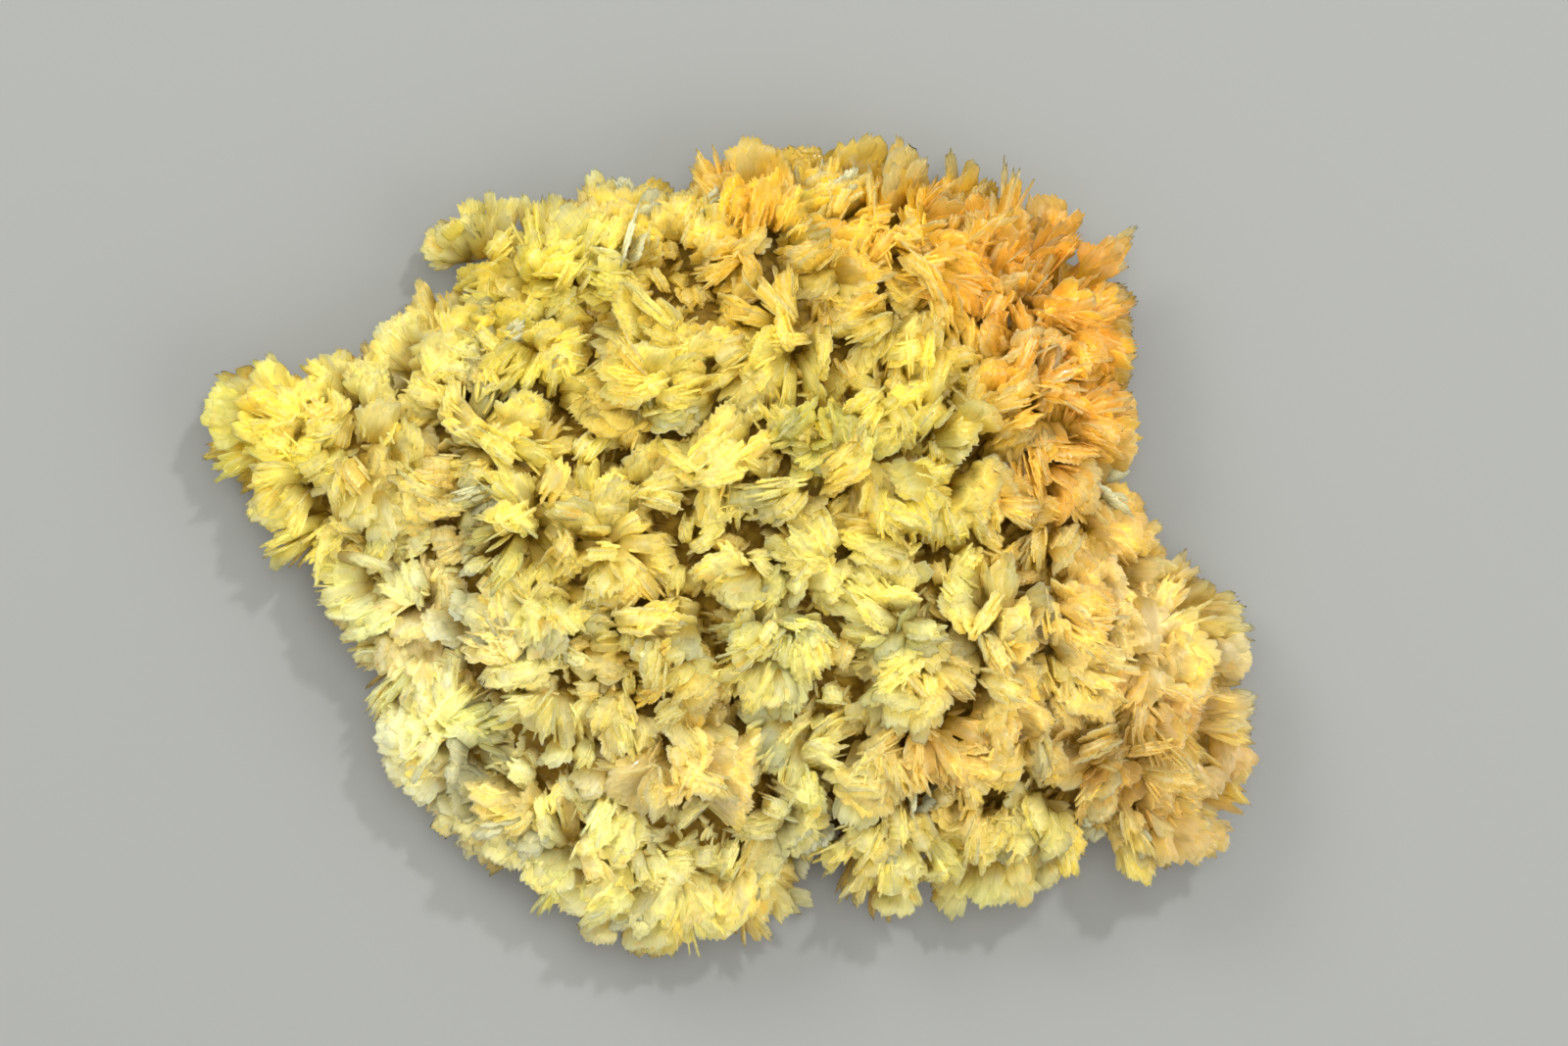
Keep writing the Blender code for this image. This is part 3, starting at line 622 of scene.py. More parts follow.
@dataclass(frozen=True)
class CrustFinish:
    """Granular golden-brown barite between the roots, its own colour partly darkened as painted shade of the hollows,
    and a paler broken face underneath.
    """

    # deep and gold: the crust's own golden-brown, partly darkened as painted shade for the hollows that it shows in.
    deep: Colour = (0.32, 0.17, 0.01)
    gold: Colour = (0.56, 0.34, 0.03)
    broken: Colour = (0.52, 0.44, 0.30)
    stain: Colour = (0.26, 0.19, 0.12)
    grit: Colour = (0.74, 0.66, 0.46)
    grain_scale: float = 900.0
    patch_scale: float = 160.0
    back_top: tuple[float, float] = (2.4 * MM, 5.0 * MM)
    grain_bump: tuple[float, float] = (0.7, 0.25 * MM)

    def material(self) -> bpy.types.Material:
        """Builds the finish.

        Returns:
            The material of the crust.
        """
        made, nodes, shader = new_finish("barite_crust")
        place = nodes.place()
        height = nodes.parts(place)[2]
        grain = nodes.noise(place, self.grain_scale, 4.0)
        patch = nodes.noise(place, self.patch_scale, 3.0)
        upper = nodes.mix(nodes.spread(grain, 0.35, 0.7), self.deep, self.gold)
        lower = nodes.mix(nodes.spread(patch, 0.4, 0.62), self.broken, self.stain)
        lower = nodes.mix(nodes.spread(grain, 0.5, 0.75, 0.0, 0.5), lower, self.grit)
        nodes.feed(shader.inputs["Base Color"], nodes.mix(nodes.spread(height, *self.back_top), lower, upper))
        nodes.feed(shader.inputs["Roughness"], nodes.spread(grain, 0.3, 0.7, 0.45, 0.8))
        nodes.bump(shader, grain, *self.grain_bump)
        return made


@dataclass(frozen=True)
class ClearFinish:
    """Nearly colourless barite that light passes through."""

    tint: Colour = (0.93, 0.91, 0.66)
    clouds: Colour = (0.94, 0.88, 0.54)
    roughness: float = 0.2
    transmission: float = 0.15
    glow: Colour = (1.0, 0.95, 0.8)
    glow_depth: float = 2.2 * MM
    cloud_scale: float = 0.6

    def material(self) -> bpy.types.Material:
        """Builds the finish.

        Returns:
            The material of the milky flakes.
        """
        made, nodes, shader = new_finish("clear_barite")
        cloud = nodes.noise(nodes.attribute("blade_place", "Vector"), self.cloud_scale, 3.0)
        nodes.feed(shader.inputs["Base Color"], nodes.mix(nodes.spread(cloud, 0.35, 0.7), self.tint, self.clouds))
        nodes.feed(shader.inputs["Roughness"], nodes.spread(cloud, 0.3, 0.7, self.roughness - 0.08,
                                                            self.roughness + 0.14))
        shader.inputs["IOR"].default_value = BARITE_IOR
        shader.inputs["Transmission Weight"].default_value = self.transmission
        nodes.glow(shader, self.glow, self.glow_depth)
        return made


@dataclass
class Crust:
    """The domed crust that the blades grow from, with its broken back."""

    rim: tuple[float, ...] = (44, 42, 47, 44, 42, 42, 39.5, 37.5, 38.5, 40, 41, 54,
                              45, 38, 39, 38.5, 38, 40, 38.5, 31, 38, 45, 56, 52)
    middle: float = 20 * MM
    edge: float = 8.5 * MM
    dome_power: float = 2.4
    wave: tuple[float, float, float] = (0.9 * MM, 9.0 * MM, 7.5 * MM)
    back_share: float = 0.84
    side_turn: float = 0.16
    foot: float = 0.5 * MM
    sectors: int = 150
    rings: int = 96
    sunk: float = 2.2 * MM
    roughness: float = 1.1 * MM
    rim_scale: float = 9.0
    lump_scale: float = 420.0
    step_scale: float = 150.0
    chip_scale: float = 60.0
    back_relief: float = 1.3 * MM
    back_flat: float = 0.25 * MM
    hollow_depth: float = 3.2 * MM
    hollow_border: float = 0.6 * MM
    widest: float = 60 * MM
    finish: CrustFinish = field(default_factory=CrustFinish)

    def rim_radius(self, angle: float) -> float:
        """How far the rim is from the middle.

        Args:
            angle: The direction, in radians.

        Returns:
            The distance, eased from one of the rim's radii to the next.
        """
        place = (angle % math.tau) / math.tau * len(self.rim)
        before = int(place) % len(self.rim)
        share = place - int(place)
        share = share * share * (3 - 2 * share)
        return (self.rim[before] * (1 - share) + self.rim[(before + 1) % len(self.rim)] * share) * MM

    def height(self, x: float, y: float) -> float:
        """The height of the crust's smooth form.

        Args:
            x: The place to the right.
            y: The place upwards.

        Returns:
            The height of the dome, with its long low waves.
        """
        share = min(math.hypot(x, y) / self.rim_radius(math.atan2(y, x)), 1.0)
        height = self.edge + (self.middle - self.edge) * (1 - share**self.dome_power)
        size, along_x, along_y = self.wave
        return height + size * math.sin(x / along_x) * math.cos(y / along_y)

    def hollow(self, x: float, y: float) -> float:
        """How far the hollows between the rosettes go down.

        Args:
            x: The place to the right.
            y: The place upwards.

        Returns:
            The depth of the deepest hollow there.
        """
        depth = 0.0
        for hollow in HOLLOWS:
            reach = hollow.radius * PIXEL + self.hollow_border
            away = (plate_place(hollow.x, hollow.y) - Vector((x, y))).length / reach
            depth = max(depth, self.hollow_depth * math.exp(-away * away))
        return depth

    def floor(self, x: float, y: float) -> float:
        """The height of the finished crust, under its grain."""
        return self.height(x, y) - self.sunk - self.hollow(x, y)

    def placed(self, direction: Vector) -> Vector:
        """Where a point of a unit ball goes on the crust.

        Args:
            direction: The point on the ball.

        Returns:
            Its place: the ball's upper half is the dome, and its lower half the side and the back.
        """
        angle = math.atan2(direction.y, direction.x)
        turn = math.acos(max(-1.0, min(1.0, direction.z))) / math.pi * 2
        rim = self.rim_radius(angle)
        rough = noise.fractal(direction * self.rim_scale, 0.9, 2.0, 5)
        if turn <= 1.0:
            reach = rim * turn * (1 + 0.02 * rough)
            x, y = reach * math.cos(angle), reach * math.sin(angle)
            lump = noise.fractal(Vector((x, y, 0)) * self.lump_scale, 0.9, 2.0, 4)
            return Vector((x, y, self.floor(x, y) + self.roughness * lump))
        share = min((turn - 1.0) / self.side_turn, 1.0)
        low = self.edge - self.sunk
        if share < 1.0:
            waist = 1 - (1 - self.back_share) * max(0.0, share * 1.5 - 0.5)
            reach = rim * waist * (1 + 0.03 * rough)
            return Vector((reach * math.cos(angle), reach * math.sin(angle), low * (1 - share) + self.foot))
        reach = rim * self.back_share * (2.0 - turn) / (1 - self.side_turn)
        x, y = reach * math.cos(angle), reach * math.sin(angle)
        step = noise.fractal(Vector((x, y, 3.0)) * self.step_scale, 0.8, 2.0, 5)
        chip = abs(noise.fractal(Vector((x, y, 9.0)) * self.chip_scale, 0.9, 2.0, 3))
        return Vector((x, y, max(0.0, self.back_relief * (chip * 1.6 + step * 0.5) - self.back_flat)))

    def build(self) -> bpy.types.Object:
        """Builds the crust.

        Returns:
            The crust's object.
        """
        mesh = bmesh.new()
        bmesh.ops.create_uvsphere(mesh, u_segments=self.sectors, v_segments=self.rings, radius=1.0)
        for vertex in mesh.verts:
            vertex.co = self.placed(vertex.co.normalized())
        bmesh.ops.recalc_face_normals(mesh, faces=mesh.faces)
        data = bpy.data.meshes.new("crust")
        mesh.to_mesh(data)
        mesh.free()
        data.materials.append(self.finish.material())
        return show("crust", data)


@dataclass(frozen=True)
class BladeShape:
    """The form of one blade, of unit length, width and thickness, with a toothed crest and a thin rim."""

    seed: int
    teeth: int
    tooth_depth: float
    root_width: float
    waist: float
    slope: float

    def outline(self) -> list[tuple[float, float]]:
        """The blade's outline.

        Returns:
            Corners as shares of the width and the length, from the root round to the root again.
        """
        chance = random.Random(self.seed)
        half = self.root_width / 2
        shoulder = (chance.uniform(0.62, 0.84), chance.uniform(0.62, 0.84))
        corners = [(-half, 0.0), (half, 0.0), (self.waist / 2 + half / 2, chance.uniform(0.26, 0.4)),
                   (0.5, shoulder[0])]
        peak = chance.uniform(-0.24, 0.24)
        for tooth in range(self.teeth):
            across = 0.44 - 0.88 * (tooth + 0.5) / self.teeth + chance.uniform(-0.03, 0.03)
            fall = self.slope * abs(across - peak) / 0.5
            tip = 1.0 - fall - chance.uniform(0.0, 0.09)
            corners.append((across, tip))
            if tooth < self.teeth - 1:
                notch = across - 0.88 / self.teeth * chance.uniform(0.2, 0.8)
                corners.append((notch, tip - self.tooth_depth * chance.uniform(0.4, 1.2)))
        corners += [(-0.5, shoulder[1]), (-self.waist / 2 - half / 2, chance.uniform(0.24, 0.42))]
        return corners

    def mesh(self) -> bmesh.types.BMesh:
        """Builds the blade: a thin rim round two raised faces.

        Returns:
            The blade, with its rim at height 0.
        """
        corners = self.outline()
        chance = random.Random(self.seed + 1)
        mesh = bmesh.new()
        ring = bmesh.ops.create_circle(mesh, cap_ends=True, segments=len(corners), radius=1.0)["verts"]
        for vertex, (across, along) in zip(ring, corners):
            vertex.co = (across, along, 0.0)
        mesh.faces.ensure_lookup_table()
        back = mesh.faces[0]
        front = self.raised(mesh, back, 0.5, chance)
        self.raised(mesh, back if back.is_valid else front, -0.5, chance)
        bmesh.ops.recalc_face_normals(mesh, faces=mesh.faces)
        return mesh

    def raised(self, mesh: bmesh.types.BMesh, face: bmesh.types.BMFace, height: float,
               chance: random.Random) -> bmesh.types.BMFace:
        """Extrudes a face, drawn in from the rim.

        Args:
            mesh: The blade's mesh.
            face: The face to extrude.
            height: How far, up or down.
            chance: What makes the raised face uneven.

        Returns:
            The raised face.
        """
        grown = bmesh.ops.extrude_face_region(mesh, geom=[face])["geom"]
        for vertex in (v for v in grown if isinstance(v, bmesh.types.BMVert)):
            x, y, _ = vertex.co
            drawn = chance.uniform(0.86, 0.94) if y > 0.55 else chance.uniform(0.94, 0.98)
            vertex.co = (x * chance.uniform(0.8, 0.92), 0.02 + y * drawn, height * chance.uniform(0.75, 1.1))
        return next(f for f in grown if isinstance(f, bmesh.types.BMFace))


FANS, LATHS, PLATES = range(0, 20), range(20, 28), range(28, 36)


def blade_shapes() -> list[BladeShape]:
    """The forms that the blades are made of.

    Returns:
        Toothed fans, narrow laths and broad plates, numbered as in FANS, LATHS and PLATES.
    """
    fans = [BladeShape(11 + n, (3, 4)[n % 2], 0.14, 0.5, 0.82, (0.08, 0.18, 0.28)[n % 3])
            for n in range(len(FANS))]
    laths = [BladeShape(51 + n, (2, 3)[n % 2], 0.14, 0.6, 0.9, (0.14, 0.3)[n // 2 % 2]) for n in range(len(LATHS))]
    plates = [BladeShape(81 + n, (3, 2)[n % 2], 0.07, 0.62, 0.95, (0.1, 0.26)[n // 2 % 2])
              for n in range(len(PLATES))]
    return fans + laths + plates


class Blade(NamedTuple):
    """Where one blade stands, how it lies, its size, its form and its tone.

    foot and top say how far along its packet it starts and ends, 0 at the packet's root and 1 at its crest.
    """

    root: Vector
    growth: Vector
    normal: Vector
    length: float
    width: float
    thickness: float
    shape: int
    light: float
    hue: float
    foot: float
    top: float


class Sizes(NamedTuple):
    """The ranges of a kind of blade's length, width and thickness, in millimetres."""

    length: tuple[float, float]
    width: tuple[float, float]
    thickness: tuple[float, float]

    def drawn(self, chance: random.Random) -> tuple[float, float, float]:
        """Draws a blade's size.

        Args:
            chance: What it is drawn from.

        Returns:
            The length, the width and the thickness, in metres.
        """
        return tuple(chance.uniform(*span) * MM for span in self)


@dataclass(frozen=True)
class Gathering:
    """How many packets a cluster has, how far they open and fan out in degrees, and their widths and forms."""

    packets: float
    packets_per_mm: float
    opening: float
    fan: float
    width: tuple[float, float]
    shapes: tuple[int, ...]


GATHERINGS = {
    Habit.BOOK: Gathering(1.8, 0.5, 46, 24, (0.38, 0.52), (*FANS, *PLATES)),
    Habit.BALL: Gathering(3.5, 0.75, 64, 44, (0.3, 0.42), (*FANS, *LATHS)),
    Habit.PLATES: Gathering(1.6, 0.42, 40, 20, (0.42, 0.6), (*FANS, *PLATES)),
    Habit.TUFT: Gathering(2.0, 0.0, 36, 24, (0.5, 0.78), (*FANS, *PLATES)),
}


@dataclass
class Crop:
    """All the blades: rosettes where the photograph has them, tufts between them, and a skirt round the side.

    tuft_radius and tuft_clear are in pixels of the photograph, plate_height and all thicknesses in millimetres.
    Lengths and widths without a unit are shares of the cluster's or the packet's, and spreads are in degrees.
    """

    crust: Crust
    reach_for_radius: float = 1.75
    root_sink: float = 2.4 * MM
    root_offset: float = 0.62
    root_share: float = 0.93
    rim_stretch: float = 1.12
    tuft_spacing: float = 3.8 * MM
    tuft_gap: float = 2.9 * MM
    tuft_steps: int = 17
    tuft_radius: tuple[float, float] = (9, 16)
    tuft_clear: float = 8
    hinge_spread: float = 5
    twist_spread: float = 26
    foot_stack: float = 0.12
    foot_jitter: float = 0.1
    inner_length: tuple[float, float] = (0.74, 0.96)
    outer_length: tuple[float, float] = (0.96, 1.04)
    packet_thickness: tuple[float, float] = (1.2, 2.2)
    flake_length: tuple[float, float] = (0.32, 0.5)
    flake_width: tuple[float, float] = (0.46, 0.74)
    flake_thickness: tuple[float, float] = (0.2, 0.38)
    flake_splay: float = 17
    flake_fan: float = 22
    skirt: int = 64
    skirt_inset: float = 5.0 * MM
    skirt_height: tuple[float, float] = (2.4, 5.0)
    skirt_opening: float = 34
    skirt_sizes: Sizes = Sizes((4.6, 6.6), (2.4, 3.8), (0.8, 1.4))
    flake_spacing: float = 1.25 * MM
    flake_share: float = 0.95
    flake_sunk: float = 0.4 * MM
    small_sizes: Sizes = Sizes((1.8, 3.2), (1.0, 2.0), (0.25, 0.45))
    bare_gap: float = 1.5 * MM
    plate_height: float = 2.6
    plate_thickness: tuple[float, float] = (0.7, 1.0)
    milky_top: float = 0.82

    def directions(self, cluster: Cluster) -> tuple[Vector, Vector]:
        """How a cluster lies.

        Args:
            cluster: The cluster.

        Returns:
            The way that its blades grow, and the axis that they are stacked along.
        """
        lean, tilt, roll = (math.radians(a) for a in (cluster.lean, cluster.tilt, cluster.roll))
        across = Vector((math.cos(lean), math.sin(lean), 0))
        growth = across * math.sin(tilt) + Vector((0, 0, 1)) * math.cos(tilt)
        edge_on = Vector((-math.sin(lean), math.cos(lean), 0))
        return growth, edge_on * math.cos(roll) - growth.cross(edge_on) * math.sin(roll)

    def ends(self, cluster: Cluster, growth: Vector) -> tuple[Vector, Vector]:
        """Where a cluster starts and ends.

        Args:
            cluster: The cluster.
            growth: The way that it grows.

        Returns:
            The point in the crust that it grows from, and the point of its crest.
        """
        reach = cluster.radius * PIXEL * self.reach_for_radius
        root = plate_place(cluster.x, cluster.y) - growth.xy * reach * self.root_offset
        root = Vector((root.x, root.y, self.crust.height(root.x, root.y) - self.root_sink))
        crest = root + growth * (reach + self.root_sink)
        inside = self.crust.rim_radius(math.atan2(root.y, root.x)) * self.root_share / root.xy.length
        if inside < 1 and cluster.habit is not Habit.BALL:
            root.x, root.y = root.x * inside, root.y * inside
            crest = root + (crest - root) * self.rim_stretch
        return root, crest

    def sheaf(self, cluster: Cluster, habit: Habit, chance: random.Random) -> Iterator[Blade]:
        """Grows one cluster.

        Args:
            cluster: Where it stands and how it lies.
            habit: How its packets are gathered.
            chance: What makes its packets uneven.

        Returns:
            Its blades, packet by packet.
        """
        growth, stack = self.directions(cluster)
        root, crest = self.ends(cluster, growth)
        growth, length = (crest - root).normalized(), (crest - root).length
        edge = growth.cross(stack).normalized()
        stack = edge.cross(growth)
        bulk = cluster.radius * PIXEL * self.reach_for_radius + self.root_sink
        how = GATHERINGS[habit]
        hue = chance.gauss(0, 0.42)
        count = round(how.packets + bulk / MM * how.packets_per_mm + chance.uniform(-0.4, 0.4))
        for number in range(count):
            place = (number + chance.uniform(0.25, 0.75)) / count * 2 - 1
            hinge = place * how.opening + chance.gauss(0, self.hinge_spread)
            lean = turned(growth, edge, hinge)
            normal = turned(turned(stack, edge, hinge), lean, chance.gauss(0, self.twist_spread))
            swing = max(-2.0, min(2.0, chance.gauss(0, 1)))
            lean = turned(lean, normal, swing * how.fan)
            jitter = chance.uniform(-self.foot_jitter, self.foot_jitter)
            start = root + stack * place * bulk * self.foot_stack + edge * jitter * bulk
            full = length * chance.uniform(*(self.inner_length if number % 3 else self.outer_length))
            full *= (1 - 0.18 * place * place) * (1 - 0.04 * swing * swing)
            shade = max(-1.0, min(1.0, hue + chance.gauss(0, 0.25)))
            core = Blade(start, lean, normal, full, bulk * chance.uniform(*how.width),
                         chance.uniform(*self.packet_thickness) * MM, chance.choice(how.shapes),
                         chance.uniform(-1, 1), shade, 0.0, 1.0)
            yield from self.packet(core, how.shapes, chance)

    def packet(self, core: Blade, shapes: tuple[int, ...], chance: random.Random) -> Iterator[Blade]:
        """A thick blade with short flakes laid over it like scales, the longest along its crest.

        Args:
            core: The thick blade.
            shapes: The forms that the flakes may have.
            chance: What makes them uneven.

        Returns:
            The packet's blades.
        """
        across = core.growth.cross(core.normal)
        yield core._replace(root=core.root + core.growth * core.length * 0.1, length=core.length * 0.76,
                            width=core.width * 0.86, light=0.0, foot=0.0, top=0.8)
        count = 3 + int(core.width / MM * 0.85 + core.thickness / MM * 0.5)
        for number in range(count):
            share = (number + chance.uniform(0.1, 0.9)) / count * 2 - 1
            side = chance.choice((-1, 1)) * chance.uniform(0.05, 1)
            reach = (1 - 0.32 * abs(side) * chance.random()) * (1 - 0.1 * share * share) * chance.uniform(0.9, 1.0)
            size = chance.uniform(*self.flake_length)
            lean = turned(core.growth, core.normal, chance.gauss(0, 7) - share * self.flake_fan)
            lean = turned(lean, across, side * self.flake_splay + chance.gauss(0, 4))
            normal = turned(core.normal, across, side * self.flake_splay)
            normal = lean.cross(normal).cross(lean).normalized()
            start = core.root + core.growth * core.length * (reach - size)
            start += across * core.width * share * 0.32 + core.normal * side * core.thickness * 0.42
            yield Blade(start, lean, normal, core.length * size, chance.uniform(*self.flake_width) * core.width,
                        chance.uniform(*self.flake_thickness) * MM, chance.choice(shapes),
                        max(-1.0, min(1.0, core.light + chance.uniform(-0.6, 0.6))), core.hue,
                        reach - size, reach)

    def tufts(self, chance: random.Random) -> Iterator[Cluster]:
        """The short clusters between the rosettes.

        Args:
            chance: What scatters them.

        Returns:
            Clusters on an uneven grid, wherever no rosette stands closer than the gap.
        """
        stands = [plate_place(c.x, c.y) for c in CLUSTERS]
        for column, row in itertools.product(range(-self.tuft_steps, self.tuft_steps + 1), repeat=2):
            x = (column + chance.uniform(-0.4, 0.4)) * self.tuft_spacing
            y = (row + chance.uniform(-0.4, 0.4)) * self.tuft_spacing
            lean, tilt, roll = chance.uniform(0, 360), chance.uniform(5, 50), chance.uniform(0, 90)
            radius, place = chance.uniform(*self.tuft_radius), Vector((x, y))
            if math.hypot(x, y) > self.crust.rim_radius(math.atan2(y, x)) * self.root_share:
                continue
            if any((plate_place(h.x, h.y) - place).length < (h.radius + self.tuft_clear) * PIXEL for h in HOLLOWS):
                continue
            if min((stand - place).length for stand in stands) > self.tuft_gap:
                yield Cluster(x / PIXEL + PHOTO_MIDDLE[0], PHOTO_MIDDLE[1] - y / PIXEL, radius, lean, tilt, roll)

    def single_plates(self, chance: random.Random) -> Iterator[Blade]:
        """The plates that stand out by themselves.

        Args:
            chance: What makes them uneven.

        Returns:
            The blades: each plate, with a few flakes on it.
        """
        for row in PLATE_ROWS:
            lean, rise, turn = (math.radians(a) for a in (row.lean, row.rise, row.turn))
            flat = Vector((math.cos(lean), math.sin(lean), 0))
            growth = flat * math.cos(rise) + Vector((0, 0, math.sin(rise)))
            side = growth.cross(Vector((-flat.y, flat.x, 0))).normalized()
            normal = side * math.cos(turn) + growth.cross(side) * math.sin(turn)
            x, y = plate_place(row.x, row.y)
            middle = Vector((x, y, self.crust.height(x, y) + (self.plate_height + row.lift) * MM))
            core = Blade(middle - growth * row.length * MM * 0.55, growth, normal, row.length * MM, row.width * MM,
                         chance.uniform(*self.plate_thickness) * MM, chance.choice(PLATES), 0.0,
                         chance.gauss(0, 0.3), 0.35, 1.0)
            yield from self.packet(core, (*FANS, *PLATES), chance)

    def milky_flakes(self) -> list[Blade]:
        """The milky, nearly colourless flakes.

        Returns:
            The outer flakes of each of the milky clusters.
        """
        grown: list[Blade] = []
        for number, cluster in enumerate(CLEAR_CLUSTERS):
            grown += self.sheaf(cluster, Habit.TUFT, random.Random(900 + number))
        return [blade for blade in grown if blade.top > self.milky_top]

    def small_flakes(self, roof: Callable[[Vector], float], chance: random.Random) -> list[Blade]:
        """Small flakes in the hollows, wherever the crust would lie bare.

        Args:
            roof: Gives the height of the blades over a place.
            chance: What scatters them.

        Returns:
            The flakes.
        """
        grown: list[Blade] = []
        steps = round(self.crust.widest / self.flake_spacing)
        for column, row in itertools.product(range(-steps, steps + 1), repeat=2):
            place = Vector((column + chance.uniform(-0.4, 0.4), row + chance.uniform(-0.4, 0.4), 0))
            place *= self.flake_spacing
            if place.xy.length > self.crust.rim_radius(math.atan2(place.y, place.x)) * self.flake_share:
                continue
            ground = self.crust.floor(place.x, place.y)
            if roof(place) > ground + self.bare_gap:
                continue
            lean = turned(Vector((0, 0, 1)), Vector((1, 0, 0)), chance.uniform(15, 60))
            lean = turned(lean, Vector((0, 0, 1)), chance.uniform(0, 360))
            normal = turned(lean.orthogonal().normalized(), lean, chance.uniform(0, 360))
            start = Vector((place.x, place.y, ground - self.flake_sunk))
            grown.append(Blade(start, lean, normal, *self.small_sizes.drawn(chance), chance.choice(LATHS),
                               chance.uniform(-1, 1), chance.gauss(0, 0.4), 0.3, 0.9))
        return grown

    def skirt_blades(self, chance: random.Random) -> Iterator[Blade]:
        """The blades round the specimen's side, down to just above what it lies on.

        Args:
            chance: What makes them uneven.

        Returns:
            The blades.
        """
        for turn in range(self.skirt):
            angle = math.tau * (turn + chance.uniform(-0.3, 0.3)) / self.skirt
            outward = Vector((math.cos(angle), math.sin(angle), 0))
            height, hue = chance.uniform(*self.skirt_height) * MM, chance.gauss(0, 0.4)
            middle = (outward + Vector((0, 0, chance.uniform(-0.15, 0.3)))).normalized()
            stack = turned(middle.orthogonal().normalized(), middle, chance.uniform(0, 360))
            edge = middle.cross(stack)
            for number in range(3):
                hinge = (number - 1) * self.skirt_opening + chance.gauss(0, 8)
                lean = turned(middle, edge, hinge)
                normal = turned(turned(stack, edge, hinge), lean, chance.gauss(0, 14))
                lean = turned(lean, normal, chance.gauss(0, 14))
                start = outward * (self.crust.rim_radius(angle) - self.skirt_inset) + Vector((0, 0, height))
                core = Blade(start, lean, normal, *self.skirt_sizes.drawn(chance), chance.choice(FANS),
                             chance.uniform(-1, 1), hue, 0.0, 1.0)
                yield from self.packet(core, (*FANS, *PLATES), chance)

    def blades(self) -> list[Blade]:
        """Grows all the yellow blades but the small flakes.

        Returns:
            The blades, in a fixed order.
        """
        grown: list[Blade] = []
        for number, cluster in enumerate(CLUSTERS):
            grown += self.sheaf(cluster, cluster.habit, random.Random(number))
        chance = random.Random(77)
        for cluster in self.tufts(chance):
            grown += self.sheaf(cluster, Habit.TUFT, chance)
        grown += self.skirt_blades(random.Random(5))
        grown += self.single_plates(random.Random(6))
        return grown


